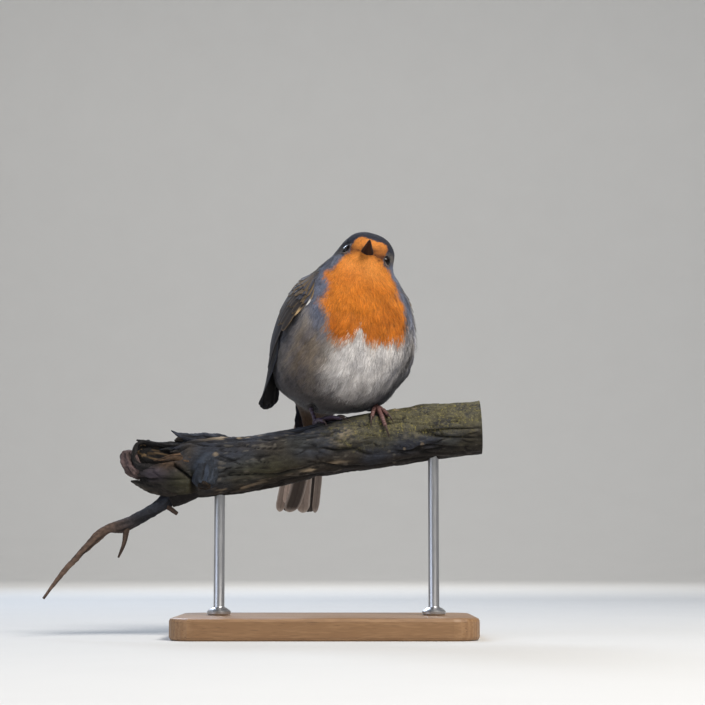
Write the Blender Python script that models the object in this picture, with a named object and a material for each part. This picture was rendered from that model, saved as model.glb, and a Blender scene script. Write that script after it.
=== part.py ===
"""A robin gripping a cut length of branch, on a plain display stand: a still, life-size model.

Sizes are in millimetres, and solid() turns them into metres. +Z is up and +Y is behind the
branch, which runs along X. The origin is on the base's underside, straight under the bird.

The bird is described in its own terms: side (to its left), forward, and height over the top of
the branch. place() turns its heading and sets it on the branch.
"""

import math

import bmesh
import bpy
import numpy as np
from mathutils import Vector

MM = 0.001
GAP = 0.3  # clearance between pieces that touch

# Display stand: a flat base and two short rods
BASE_MIDDLE = -9.0  # along X
BASE_LENGTH = 138.0
BASE_DEPTH = 88.0
BASE_THICKNESS = 10.0
BASE_CORNER = 12.0
BASE_BEVEL = 1.6
ROD_RADIUS = 2.5
ROD_PLACES = {"left": -58.0, "right": 41.0}
COLLAR_RADIUS = 5.5
COLLAR_HEIGHT = 3.0

# Branch: places along its middle, thick and broken on the left, sawn off on the right
BRANCH_STATIONS = (
    # x, y, z, radius
    (-95.0, 0.0, 79.0, 8.4),
    (-88.0, 0.0, 77.4, 11.0),
    (-78.0, 0.0, 77.2, 12.9),
    (-60.0, 0.0, 78.4, 14.2),
    (-42.0, 0.0, 80.3, 13.5),
    (-21.0, 0.0, 84.0, 12.9),
    (0.0, 0.0, 88.0, 12.8),
    (20.0, 0.0, 91.5, 13.2),
    (40.0, 0.0, 94.8, 12.9),
    (63.0, 0.0, 96.5, 12.8),
)
BRANCH_SIDES = 24
BRANCH_RINGS = 20
HEARTWOOD = ((-94.6, -1.5, 79.8), (9.2, 7.4, 6.4))  # middle and half sizes of its bare end
SPLINTERS = (
    # from, to, radius at each
    ((-78.0, 1.0, 86.6), (-93.0, -1.5, 90.2), 3.6, 0.5),
    ((-62.0, -1.0, 89.0), (-78.6, -2.5, 95.0), 4.4, 0.5),
    ((-80.0, -3.0, 69.4), (-98.5, -2.0, 71.4), 3.6, 0.9),
)
KNOB = ((-63.5, -9.0, 82.0), (-64.0, -17.0, 69.0), 4.4, 5.0)
TWIG_STATIONS = (
    (-76.0, 0.0, 69.0, 4.2),
    (-85.6, -2.0, 60.2, 3.0),
    (-96.2, -4.0, 53.8, 2.8),
    (-102.6, -5.5, 50.8, 2.9),
    (-108.6, -6.5, 49.6, 2.4),
    (-114.6, -7.5, 44.8, 2.0),
    (-127.6, -9.0, 31.0, 1.4),
    (-137.4, -10.0, 17.8, 0.6),
)
TWIG_FORK = ((-100.4, -5.5, 50.4), (-101.2, -7.5, 43.0), (-103.6, -9.0, 36.4))
TWIG_STUB = ((-83.0, -2.0, 60.6), (-77.4, -4.0, 56.6))

# Bird: its heading, and where the top of the branch is under it
BIRD_HEADING = 26.0  # degrees towards +X from straight to the front
BIRD_SIDE = -0.6
BRANCH_TOP = 100.8

# Body: pairs of places on the back's and the belly's outline, from the tail's root to the face
SECTIONS = (
    # back forward and height, belly forward and height, half width, twist towards the head
    (-37.6, -3.5, -34.8, -4.9, 3.6, 0.0),
    (-36.6, 3.5, -31.0, 0.8, 7.2, 0.0),
    (-34.6, 11.5, -23.5, 3.6, 13.0, 0.0),
    (-33.2, 20.0, -11.5, 2.8, 21.5, 0.0),
    (-31.6, 29.0, 1.5, 3.3, 28.0, 0.0),
    (-29.0, 38.5, 13.5, 6.5, 31.6, 0.0),
    (-25.0, 47.5, 23.0, 14.0, 32.6, 0.0),
    (-19.5, 56.0, 29.2, 24.5, 31.7, 0.0),
    (-13.0, 62.8, 32.2, 36.0, 29.3, 0.0),
    (-6.6, 68.2, 33.0, 46.5, 25.2, 0.05),
    (0.2, 71.8, 32.2, 55.0, 20.0, 0.2),
    (5.2, 75.6, 30.8, 60.8, 15.6, 0.45),
    (8.0, 80.4, 29.4, 64.6, 13.6, 0.75),
    (10.8, 84.4, 28.6, 67.4, 12.5, 1.0),
    (15.5, 85.8, 28.0, 69.7, 10.7, 1.0),
    (20.2, 84.2, 27.5, 71.3, 9.0, 1.0),
    (23.9, 81.4, 27.3, 72.5, 7.1, 1.0),
    (26.2, 78.7, 27.4, 73.4, 4.8, 1.0),
    (27.3, 76.8, 27.7, 74.3, 2.0, 1.0),
)
NECK_START = 9.2
HEAD_START = 11.6
AROUND = 28
SQUARENESS = 2.25  # of each section's outline, where 2 is an ellipse

# Head: its frame when it looks ahead, and how it is then turned on the neck
HEAD_MIDDLE = (16.5, 73.0)  # forward and height
HEAD_PITCH = 24.0
NECK_PIVOT = (13.0, 64.0)
HEAD_TURN = 27.0  # to its right
HEAD_LEAN = 16.5  # its top to its left
HEAD_SHIFT = 2.6

EYE_RADIUS = 2.9
EYE_PLACE = (5.8, 8.5, -2.2)  # forward, to the side and up from the head's middle

BILL_ROOT = 8.2
BILL_TIP = 20.6
BILL_HALF_WIDTH = 4.0
BILL_DROP = -2.7  # the gape's height at the root, from the head's middle
BILL_DROOP = 0.1  # how far the tip is over that
UPPER_DEPTH = 2.6
LOWER_DEPTH = 1.5
BILL_PARTING = 0.16  # from the gape line to each mandible

# Wings: sheets on the body, between section numbers; angles run from the back to the belly
WING_SHOULDER = 9.6
WING_LEAVES_BODY = 5.6
WING_TOP_EDGE = (52.0, 40.0)
WING_LOW_EDGE = (98.0, 92.0)
WING_THICKNESS = 3.0
WING_TIP_THICKNESS = 1.4
WING_TIP = (27.0, -28.0, 5.0)  # to the side, forward and height
WING_TIP_SLANT = (-0.97, -0.22, 0.1)  # from its low edge to its top one
WING_TIP_HALF_WIDTH = 6.2
WING_ON_BODY = 0.6  # share of the wing's length
WING_PARTING = 0.7
WING_CLEARANCE = 0.6  # from the body's surface

TAIL_ROOT = (-33.5, 14.0)  # forward and height
TAIL_TIP = (-48.5, -43.0)
TAIL_SWING = -1.4  # to the side, at the tip
TAIL_ROOT_HALF_WIDTH = 6.2
TAIL_TIP_HALF_WIDTH = 11.7
TAIL_THICKNESS = (2.2, 1.1)
TAIL_ARCH = 1.8
TAIL_NOTCH = 4.0
TAIL_FEATHERS = 12
TAIL_ROWS = 4

# Feet: where each stands on the branch and how its toes lie. Angles run from the branch's top
# to its front, and a toe's slant is from straight round the branch towards +X.
TARSUS_LENGTH = 22.0
TARSUS_RADIUS = 1.0
SOLE_RADIUS = 1.9
TOE_RADIUS = 1.05
TOE_LENGTHS = {"middle": 15.5, "inner": 10.0, "outer": 11.0, "hind": 8.5}
CLAW_LENGTHS = {"middle": 5.0, "inner": 4.0, "outer": 4.0, "hind": 5.6}
FEET = {
    "right": {
        "along": -11.0,
        "angle": -22.0,
        "lean": (-0.33, 0.22, 0.90),
        "slants": {"middle": 46.0, "inner": 76.0, "outer": 18.0, "hind": 212.0},
    },
    "left": {
        "along": 17.0,
        "angle": 2.0,
        "lean": (-0.12, 0.40, 0.83),
        "slants": {"middle": 9.0, "inner": -16.0, "outer": 33.0, "hind": 188.0},
    },
}
SIDES = {"left": 1, "right": -1}

COLOURS = {
    # red, green, blue, roughness
    "plumage_orange": (0.75, 0.28, 0.05, 0.9),
    "plumage_pale": (0.55, 0.52, 0.48, 0.9),
    "plumage_brown": (0.20, 0.17, 0.13, 0.85),
    "bill": (0.04, 0.03, 0.03, 0.4),
    "eye": (0.01, 0.008, 0.006, 0.1),
    "leg_skin": (0.22, 0.12, 0.10, 0.6),
    "claw": (0.05, 0.04, 0.04, 0.35),
    "bark": (0.09, 0.08, 0.06, 0.9),
    "stand_wood": (0.35, 0.22, 0.12, 0.5),
    "stand_metal": (0.55, 0.54, 0.52, 0.3),
}


# ---------------------------------------------------------------- making solids


def material(name):
    """The named material, made the first time it is asked for."""
    found = bpy.data.materials.get(name)
    if found:
        return found
    red, green, blue, roughness = COLOURS[name]
    made = bpy.data.materials.new(name)
    made.use_nodes = True
    shader = made.node_tree.nodes["Principled BSDF"]
    shader.inputs["Base Color"].default_value = (red, green, blue, 1.0)
    shader.inputs["Roughness"].default_value = roughness
    shader.inputs["Metallic"].default_value = 1.0 if name == "stand_metal" else 0.0
    made.diffuse_color = (red, green, blue, 1.0)
    return made


def solid(name, points, faces, colour):
    """An object from points in millimetres and faces that may need turning outwards."""
    mesh = bpy.data.meshes.new(name)
    mesh.from_pydata([Vector(p) * MM for p in points], [], faces)
    shaped = bmesh.new()
    shaped.from_mesh(mesh)
    bmesh.ops.recalc_face_normals(shaped, faces=shaped.faces)
    if shaped.calc_volume(signed=True) < 0:
        bmesh.ops.reverse_faces(shaped, faces=shaped.faces)
    shaped.to_mesh(mesh)
    shaped.free()
    mesh.shade_smooth()
    made = bpy.data.objects.new(name, mesh)
    bpy.context.scene.collection.objects.link(made)
    mesh.materials.append(material(colour))
    return made


def loft(name, rings, colour):
    """A closed solid through rings of equal counts, with a point at the middle of each end."""
    count = len(rings[0])
    points = [p for ring in rings for p in ring]
    faces = []
    for row in range(len(rings) - 1):
        for i in range(count):
            after = (i + 1) % count
            start = row * count
            faces.append((start + i, start + after, start + count + after, start + count + i))
    for ring, start in ((rings[0], 0), (rings[-1], (len(rings) - 1) * count)):
        hub = len(points)
        points.append(tuple(np.mean(np.array(ring), axis=0)))
        faces += [(hub, start + i, start + (i + 1) % count) for i in range(count)]
    return solid(name, points, faces, colour)


def sheet(name, over, under, colour):
    """A closed sheet between two grids of points, rows along and columns across."""
    rows, columns = len(over), len(over[0])
    points = [p for grid in (over, under) for row in grid for p in row]
    below = rows * columns
    faces = []
    for r in range(rows - 1):
        for c in range(columns - 1):
            a = r * columns + c
            quad = (a, a + 1, a + columns + 1, a + columns)
            faces += [quad, tuple(below + i for i in quad)]
    rim = list(range(columns))
    rim += [r * columns + columns - 1 for r in range(1, rows)]
    rim += [(rows - 1) * columns + c for c in range(columns - 2, -1, -1)]
    rim += [r * columns for r in range(rows - 2, 0, -1)]
    for i, a in enumerate(rim):
        b = rim[(i + 1) % len(rim)]
        faces.append((a, b, below + b, below + a))
    return solid(name, points, faces, colour)


def ring_round(place, normal, other, radius, around):
    turn = [2 * math.pi * i / around for i in range(around)]
    return [place + (normal * math.cos(a) + other * math.sin(a)) * radius for a in turn]


def tube(name, places, radii, colour, around=7):
    """A round solid along places, one radius for each."""
    places = [np.array(p, dtype=float) for p in places]
    rings = []
    normal = None
    for k, place in enumerate(places):
        direction = places[min(k + 1, len(places) - 1)] - places[max(k - 1, 0)]
        direction = direction / np.linalg.norm(direction)
        if normal is None:
            normal = np.cross(direction, (0.3, 0.5, 0.8))
        normal = normal - direction * np.dot(normal, direction)
        normal /= np.linalg.norm(normal)
        rings.append(ring_round(place, normal, np.cross(direction, normal), radii[k], around))
    return loft(name, rings, colour)


def ball(name, place, half_sizes, colour, segments=12):
    """A ball or an egg at a place."""
    shaped = bmesh.new()
    bmesh.ops.create_uvsphere(shaped, u_segments=segments, v_segments=segments * 2 // 3, radius=1.0)
    points = [np.array(v.co) * half_sizes + place for v in shaped.verts]
    faces = [[v.index for v in f.verts] for f in shaped.faces]
    shaped.free()
    return solid(name, points, faces, colour)


def hidden(helper):
    """A helper that only cuts or joins others."""
    helper.hide_render = True
    helper.display_type = "WIRE"
    return helper


def grown(source, distance):
    """A hidden copy of a solid, grown by a distance in millimetres along its normals."""
    made = source.copy()
    made.data = source.data.copy()
    made.name = source.name + "_grown"
    bpy.context.scene.collection.objects.link(made)
    shaped = bmesh.new()
    shaped.from_mesh(made.data)
    shaped.normal_update()
    for vertex in shaped.verts:
        vertex.co += vertex.normal * distance * MM
    shaped.to_mesh(made.data)
    shaped.free()
    return hidden(made)


def boolean(target, operation, tool):
    """The target loses, or gains, what lies inside the tool."""
    made = target.modifiers.new(f"{operation.lower()}_{tool.name}", "BOOLEAN")
    made.operation = operation
    made.solver = "EXACT"
    made.object = tool


def through(stations, along):
    """A row at a station number, on a smooth curve through all rows."""
    last = len(stations) - 1
    i = min(int(along), last - 1)
    t = along - i
    before, here, after, beyond = (np.array(stations[min(max(i + k, 0), last)]) for k in (-1, 0, 1, 2))
    bend = 2 * before - 5 * here + 4 * after - beyond
    turn = 3 * here - before - 3 * after + beyond
    return here + 0.5 * t * ((after - before) + t * (bend + t * turn))


# ---------------------------------------------------------------- the body's form


def turned_about(point, pivot, axis, degrees):
    """A point turned about an axis through a pivot."""
    axis = np.array(axis) / np.linalg.norm(axis)
    arm = np.array(point) - pivot
    a = math.radians(degrees)
    across = np.cross(axis, arm)
    return pivot + arm * math.cos(a) + across * math.sin(a) + axis * np.dot(axis, arm) * (1 - math.cos(a))


def place(side, forward, height, twist=0.0):
    """A point from the bird's terms, turned with the head by a share of its whole twist."""
    pivot = np.array((0.0, *NECK_PIVOT))
    point = np.array((side, forward, height))
    point = turned_about(point, pivot, (0.0, 1.0, 0.0), HEAD_LEAN * twist)
    point = turned_about(point, pivot, (0.0, 0.0, 1.0), HEAD_TURN * twist)
    side, forward, height = point[0] + HEAD_SHIFT * twist, point[1], point[2]
    h = math.radians(BIRD_HEADING)
    x = BIRD_SIDE + side * math.cos(h) + forward * math.sin(h)
    y = side * math.sin(h) - forward * math.cos(h)
    return np.array((x, y, BRANCH_TOP + height))


def head_place(forward, left, up):
    """A point from the head's own middle and axes."""
    pitch = math.radians(HEAD_PITCH)
    ahead = HEAD_MIDDLE[0] + forward * math.cos(pitch) - up * math.sin(pitch)
    height = HEAD_MIDDLE[1] + forward * math.sin(pitch) + up * math.cos(pitch)
    return place(left, ahead, height, 1.0)


def body_point(along, angle, height=0.0):
    """A point on the body or over it. Angles run from the back, positive to the bird's left."""
    back_f, back_z, belly_f, belly_z, half_width, twist = through(SECTIONS, along)
    a = math.radians(angle)
    power = 2 / SQUARENESS
    across = math.copysign(abs(math.sin(a)) ** power, math.sin(a))
    share = 0.5 + 0.5 * math.copysign(abs(math.cos(a)) ** power, math.cos(a))
    forward = belly_f + (back_f - belly_f) * share
    up = belly_z + (back_z - belly_z) * share
    middle = np.array(place(0.0, (back_f + belly_f) / 2, (back_z + belly_z) / 2, twist))
    point = place(half_width * across, forward, up, twist)
    if not height:
        return point
    outward = point - middle
    return point + outward / np.linalg.norm(outward) * height


def body_rings(start, end, rings, shift=0.0):
    """Rings of the body between two sections. The first is moved towards the next by a shift."""
    made = []
    for k in range(rings):
        along = start + (end - start) * k / (rings - 1)
        made.append([body_point(along, 360.0 * i / AROUND) for i in range(AROUND)])
    if shift:
        ahead = np.mean(made[1], axis=0) - np.mean(made[0], axis=0)
        made[0] = [p + ahead / np.linalg.norm(ahead) * shift for p in made[0]]
    return made


def make_flesh():
    """Trunk, neck and head, parted by thin cuts, and a grown copy that cuts their neighbours."""
    last = len(SECTIONS) - 1
    loft("trunk", body_rings(0.0, NECK_START, 19), "plumage_pale")
    loft("neck", body_rings(NECK_START, HEAD_START, 5, GAP), "plumage_orange")
    head = loft("head", body_rings(HEAD_START, last, 14, GAP), "plumage_orange")
    whole = loft("body", body_rings(0.0, last, 38), "plumage_pale")
    clearance = grown(whole, GAP)
    bpy.data.objects.remove(whole)
    for side in SIDES.values():
        socket = ball(f"socket_{side}", eye_place(side), EYE_RADIUS + GAP, "eye")
        boolean(head, "DIFFERENCE", hidden(socket))
    return clearance


# ---------------------------------------------------------------- eyes and bill


def eye_place(side):
    forward, out, up = EYE_PLACE
    return head_place(forward, side * out, up)


def mandible_rings(depth, direction):
    """Rings of a mandible: half an oval over or under the gape line, thinning to the tip."""
    rings = []
    for k in range(9):
        share = k / 8
        slim = (1 - share) ** 0.85 * 0.94 + 0.06
        half_width = BILL_HALF_WIDTH * slim * (1 - 0.25 * math.sin(math.pi * share))
        forward = BILL_ROOT + (BILL_TIP - BILL_ROOT) * share
        gape = BILL_DROP + BILL_DROOP * share**2 + direction * BILL_PARTING
        ring = []
        for i in range(9):
            a = math.pi * i / 8
            rise = direction * depth * slim * math.sin(a) ** 0.8
            ring.append(head_place(forward, half_width * math.cos(a), gape + rise))
        rings.append(ring)
    return rings


def make_face(clearance):
    """The eyes and the two halves of the bill."""
    for name, side in SIDES.items():
        ball(f"eye_{name}", eye_place(side), EYE_RADIUS, "eye")
    upper = loft("bill_upper", mandible_rings(UPPER_DEPTH, 1), "bill")
    lower = loft("bill_lower", mandible_rings(LOWER_DEPTH, -1), "bill")
    for part in (upper, lower):
        boolean(part, "DIFFERENCE", clearance)


# ---------------------------------------------------------------- wings and tail


def wing_point(side, share, across, height):
    """A point of a wing: share runs from shoulder to tip, across from its top to its low edge."""
    on_body = min(share / WING_ON_BODY, 1.0)
    free = max(share - WING_ON_BODY, 0.0) / (1 - WING_ON_BODY)
    along = WING_SHOULDER + (WING_LEAVES_BODY - WING_SHOULDER) * on_body
    spread = math.sin(min(on_body / 0.35, 1.0) * math.pi / 2)
    middle = (WING_TOP_EDGE[0] + WING_LOW_EDGE[0]) / 2
    top = WING_TOP_EDGE[0] + (WING_TOP_EDGE[1] - WING_TOP_EDGE[0]) * on_body
    low = WING_LOW_EDGE[0] + (WING_LOW_EDGE[1] - WING_LOW_EDGE[0]) * on_body
    top = middle + (top - middle) * (0.35 + 0.65 * spread)
    low = middle + (low - middle) * (0.35 + 0.65 * spread)
    angle = side * (top + (low - top) * across)
    on_surface = body_point(along, angle, WING_CLEARANCE + height)
    if free <= 0:
        return on_surface
    tip = place(side * WING_TIP[0], WING_TIP[1], WING_TIP[2])
    slant = np.array(WING_TIP_SLANT)
    edges = place(side * (WING_TIP[0] + slant[0]), *(slant[1:] + WING_TIP[1:])) - tip
    outward = np.cross(edges, tip - body_point(WING_SHOULDER, side * middle)) * -side
    outward /= np.linalg.norm(outward)
    half = WING_TIP_HALF_WIDTH * math.sqrt(max(1 - free**4, 0.03))
    at_tip = tip + edges * half * (1 - 2 * across) + outward * height
    return on_surface + (at_tip - on_surface) * (1 - (1 - free) ** 1.8)


def wing_thickness(share, across):
    """A lens across the wing, thin at its edges, its shoulder and its tip."""
    full = WING_THICKNESS + (WING_TIP_THICKNESS - WING_THICKNESS) * min(share / 0.8, 1.0)
    lens = 0.3 + 0.7 * math.sin(math.pi * across) ** 0.7
    return max(full * lens * min(share / 0.12 + 0.25, 1.0), 0.55)


def wing_rows(side, start, end, rows, thickness):
    columns = 8
    made = []
    for r in range(rows):
        share = start + (end - start) * r / (rows - 1)
        shares = [c / (columns - 1) for c in range(columns)]
        made.append([wing_point(side, share, a, thickness(share, a)) for a in shares])
    return made


def make_wings(clearance):
    """Each folded wing: its coverts and secondaries, and the primaries that reach past them."""
    spans = {"wing": (0.0, WING_PARTING, 10), "primaries": (WING_PARTING + 0.006, 1.0, 6)}
    for name, side in SIDES.items():
        for node, span in spans.items():
            over = wing_rows(side, *span, wing_thickness)
            under = wing_rows(side, *span, lambda share, across: 0.0)
            made = sheet(f"{node}_{name}", over, under, "plumage_brown")
            boolean(made, "DIFFERENCE", clearance)


def tail_rows(lift):
    """Rows of the tail's fan, from its root to the ends of its feathers."""
    root = place(0.0, *TAIL_ROOT)
    tip = place(TAIL_SWING, *TAIL_TIP)
    across_tail = place(1.0, *TAIL_ROOT) - root
    length = np.linalg.norm(tip - root)
    along = (tip - root) / length
    back = np.cross(along, across_tail)
    columns = 2 * TAIL_FEATHERS + 1
    rows = []
    for r in range(TAIL_ROWS + 1):
        share = r / TAIL_ROWS
        widening = math.sin(share * math.pi / 2)
        half_width = TAIL_ROOT_HALF_WIDTH + (TAIL_TIP_HALF_WIDTH - TAIL_ROOT_HALF_WIDTH) * widening
        row = []
        for c in range(columns):
            across = 2 * c / (columns - 1) - 1
            scallop = 0.7 * (c % 2) - 1.6 * abs(across) ** 6
            notch = TAIL_NOTCH * math.exp(-((across / 0.28) ** 2))
            reach = length * share + (scallop - notch) * share**3
            arch = -TAIL_ARCH * across**2
            row.append(root + along * reach + across_tail * half_width * across + back * (arch + lift(share)))
        rows.append(row)
    return rows


def make_tail(clearance):
    thick, thin = TAIL_THICKNESS
    over = tail_rows(lambda share: (thick + (thin - thick) * share) / 2)
    under = tail_rows(lambda share: -(thick + (thin - thick) * share) / 2)
    boolean(sheet("tail", over, under, "plumage_brown"), "DIFFERENCE", clearance)


# ---------------------------------------------------------------- branch


def branch_row(x):
    """The branch's middle and radius at a place along X."""
    places = [station[0] for station in BRANCH_STATIONS]
    i = max(k for k in range(len(places) - 1) if places[k] <= max(x, places[0]))
    along = i + (x - places[i]) / (places[i + 1] - places[i])
    row = through(BRANCH_STATIONS, along)
    return np.array((x, row[1], row[2])), row[3]


def branch_frame(x):
    """Middle, direction, top and front of the branch at a place along X."""
    middle, radius = branch_row(x)
    direction = branch_row(min(x + 2.0, BRANCH_STATIONS[-1][0]))[0] - branch_row(x - 2.0)[0]
    direction /= np.linalg.norm(direction)
    front = np.array((0.0, -1.0, 0.0))
    return middle, radius, direction, np.cross(front, direction), front


def branch_point(x, angle, height=0.0):
    """A point on the bark or over it. Angles run from the top towards the front."""
    middle, radius, _, top, front = branch_frame(x)
    a = math.radians(angle)
    swell = 0.022 * math.sin(2 * a + x * 0.05) + 0.016 * math.sin(3 * a - x * 0.09 + 1.0)
    return middle + (top * math.cos(a) + front * math.sin(a)) * (radius * (1 + swell) + height)


def spike(name, start, end, thick, thin):
    """A tapered piece of wood between two places."""
    places = [np.array(start) + (np.array(end) - start) * k / 3 for k in range(4)]
    radii = [thick + (thin - thick) * k / 3 for k in range(4)]
    return hidden(tube(name, places, radii, "bark"))


def make_branch():
    """The branch with its broken end and its knob. It returns a grown copy as well."""
    left, right = BRANCH_STATIONS[0][0], BRANCH_STATIONS[-1][0]
    rings = []
    for k in range(BRANCH_RINGS + 1):
        x = left + (right - left) * k / BRANCH_RINGS
        rings.append([branch_point(x, 360.0 * i / BRANCH_SIDES) for i in range(BRANCH_SIDES)])
    branch = loft("branch", rings, "bark")
    clearance = grown(branch, GAP)
    boolean(branch, "UNION", hidden(ball("heartwood", *HEARTWOOD, "bark")))
    for k, splinter in enumerate(SPLINTERS):
        boolean(branch, "UNION", spike(f"splinter_{k}", *splinter))
    boolean(branch, "UNION", spike("knob", *KNOB))
    return clearance


def make_twig(clearance):
    """The thin side twig under the branch's broken end, with its fork and a stub."""
    shares = [k / 3 for k in range(3 * len(TWIG_STATIONS) - 2)]
    rows = [through(TWIG_STATIONS, along) for along in shares]
    twig = tube("branch_twig", [row[:3] for row in rows], [row[3] for row in rows], "bark")
    boolean(twig, "UNION", hidden(tube("fork", TWIG_FORK, (1.7, 1.2, 0.5), "bark")))
    boolean(twig, "UNION", hidden(tube("stub", TWIG_STUB, (1.4, 1.0), "bark")))
    boolean(twig, "DIFFERENCE", clearance)


# ---------------------------------------------------------------- feet


def toe_place(foot, slant, distance, height):
    """A point over the bark at a distance from the sole, on a line that winds round the branch."""
    s = math.radians(slant)
    x = foot["along"] + distance * math.sin(s)
    radius = branch_row(foot["along"])[1]
    angle = foot["angle"] + math.degrees(distance * math.cos(s) / radius)
    return branch_point(x, angle, height)


def make_toe(side, foot, digit):
    """A toe with a swelling at each joint, to be joined to its foot."""
    slant, length = foot["slants"][digit], TOE_LENGTHS[digit]
    places, radii = [], []
    rings = 7
    for k in range(rings):
        share = k / (rings - 1)
        radius = TOE_RADIUS * (1 - 0.3 * share) * (1 + 0.1 * math.cos(6 * math.pi * share))
        places.append(toe_place(foot, slant, 0.4 + length * share, radius + GAP))
        radii.append(radius)
    return hidden(tube(f"toe_{side}_{digit}", places, radii, "leg_skin"))


def make_claw(side, foot, digit):
    """A claw that arches off the end of its toe and down to the bark."""
    length, rings = CLAW_LENGTHS[digit], 5
    places, radii = [], []
    for k in range(rings):
        share = k / (rings - 1)
        arch = 0.75 * math.sin(math.pi * (0.25 + 0.75 * share)) - 0.35 * share
        distance = 0.4 + TOE_LENGTHS[digit] + GAP + length * share
        radius = 0.62 * (1 - share) ** 0.7 + 0.1
        places.append(toe_place(foot, foot["slants"][digit], distance, radius + GAP + 0.35 + arch))
        radii.append(radius)
    return tube(f"claw_{side}_{digit}", places, radii, "claw", 6)


def make_legs(body_clearance, branch_clearance):
    """Each bare leg with its toes in one piece, as far as the belly lets it show, and its claws."""
    for side, foot in FEET.items():
        sole = toe_place(foot, 0.0, 0.0, SOLE_RADIUS * 0.8 + GAP)
        lean = np.array(foot["lean"]) / np.linalg.norm(foot["lean"])
        places = [sole + lean * TARSUS_LENGTH * k / 5 for k in range(6)]
        leg = ball(f"leg_{side}", sole, SOLE_RADIUS, "leg_skin", 10)
        boolean(leg, "UNION", hidden(tube(f"tarsus_{side}", places, [TARSUS_RADIUS] * 6, "leg_skin")))
        for digit in TOE_LENGTHS:
            boolean(leg, "UNION", make_toe(side, foot, digit))
            boolean(make_claw(side, foot, digit), "DIFFERENCE", body_clearance)
        boolean(leg, "DIFFERENCE", body_clearance)
        boolean(leg, "DIFFERENCE", branch_clearance)


# ---------------------------------------------------------------- stand


def make_base():
    """A flat base with rounded corners and a small bevel round its edges."""
    corners = []
    for quarter in range(4):
        middle_x = (BASE_LENGTH / 2 - BASE_CORNER) * (1, -1, -1, 1)[quarter]
        middle_y = (BASE_DEPTH / 2 - BASE_CORNER) * (1, 1, -1, -1)[quarter]
        for k in range(7):
            a = math.pi / 2 * (quarter + k / 6)
            x = BASE_MIDDLE + middle_x + BASE_CORNER * math.cos(a)
            corners.append((x, middle_y + BASE_CORNER * math.sin(a)))
    low = [(x, y, 0.0) for x, y in corners]
    high = [(x, y, BASE_THICKNESS) for x, y in corners]
    count = len(corners)
    faces = [tuple(range(count)), tuple(range(2 * count - 1, count - 1, -1))]
    for i in range(count):
        after = (i + 1) % count
        faces.append((i, after, count + after, count + i))
    base = solid("stand_base", low + high, faces, "stand_wood")
    bevel = base.modifiers.new("rounded_edges", "BEVEL")
    bevel.width = BASE_BEVEL * MM
    bevel.segments = 2
    bevel.limit_method = "ANGLE"
    bevel.angle_limit = math.radians(60)


def make_rods(clearance):
    """Two rods, each with a collar on the base, that reach up to the branch's underside."""
    foot = BASE_THICKNESS + GAP
    for name, x in ROD_PLACES.items():
        profile = [
            (COLLAR_RADIUS, foot),
            (COLLAR_RADIUS, foot + COLLAR_HEIGHT * 0.6),
            (ROD_RADIUS * 1.4, foot + COLLAR_HEIGHT),
            (ROD_RADIUS, foot + COLLAR_HEIGHT * 1.2),
            (ROD_RADIUS, branch_row(x)[0][2]),
        ]
        across, away = np.array((1.0, 0.0, 0.0)), np.array((0.0, 1.0, 0.0))
        rings = [ring_round(np.array((x, 0.0, z)), across, away, r, 20) for r, z in profile]
        boolean(loft(f"stand_rod_{name}", rings, "stand_metal"), "DIFFERENCE", clearance)


def clear_scene():
    for old in list(bpy.data.objects):
        bpy.data.objects.remove(old)


def main():
    clear_scene()
    body_clearance = make_flesh()
    make_face(body_clearance)
    make_wings(body_clearance)
    make_tail(body_clearance)
    branch_clearance = make_branch()
    make_twig(branch_clearance)
    make_legs(body_clearance, branch_clearance)
    make_base()
    make_rods(branch_clearance)


main()
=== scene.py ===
"""A life-size European robin on a cut branch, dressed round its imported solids.

Every length below is in millimetres and every angle in degrees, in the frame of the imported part:
X to the viewer's right, Y away from the viewer, Z up. MM turns them into metres at the very end.
"""

import math

import bmesh
import bpy
import mathutils
import numpy as np
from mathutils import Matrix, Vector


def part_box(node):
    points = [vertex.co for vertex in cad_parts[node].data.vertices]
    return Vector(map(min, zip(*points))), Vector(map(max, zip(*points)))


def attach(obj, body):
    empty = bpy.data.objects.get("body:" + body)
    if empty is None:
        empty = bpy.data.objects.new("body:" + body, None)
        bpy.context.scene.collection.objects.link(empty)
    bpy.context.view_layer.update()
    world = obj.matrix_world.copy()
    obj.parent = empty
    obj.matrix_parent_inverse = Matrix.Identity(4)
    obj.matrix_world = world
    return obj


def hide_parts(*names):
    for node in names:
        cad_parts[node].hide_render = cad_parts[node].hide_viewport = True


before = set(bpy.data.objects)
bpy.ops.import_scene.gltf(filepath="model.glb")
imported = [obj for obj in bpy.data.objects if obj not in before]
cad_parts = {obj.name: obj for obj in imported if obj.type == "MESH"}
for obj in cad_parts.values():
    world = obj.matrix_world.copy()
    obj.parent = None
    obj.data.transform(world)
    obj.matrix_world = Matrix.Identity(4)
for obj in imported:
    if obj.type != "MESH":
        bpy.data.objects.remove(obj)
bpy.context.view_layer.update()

bl_info = {
    "name": "Robin on a branch",
    "version": (1, 0, 0),
    "blender": (4, 5, 0),
    "location": "View3D > Sidebar > Robin",
    "description": "Dresses a robin, its branch and its stand with skin, feathers, bark and light",
    "category": "Object",
}

MM = 0.001
SIDES = {"left": 1, "right": -1}

# ---------------------------------------------------------------- the bird's form

BIRD_HEADING = 26.0
BIRD_SIDE = -0.6
BRANCH_TOP = 100.8
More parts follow.
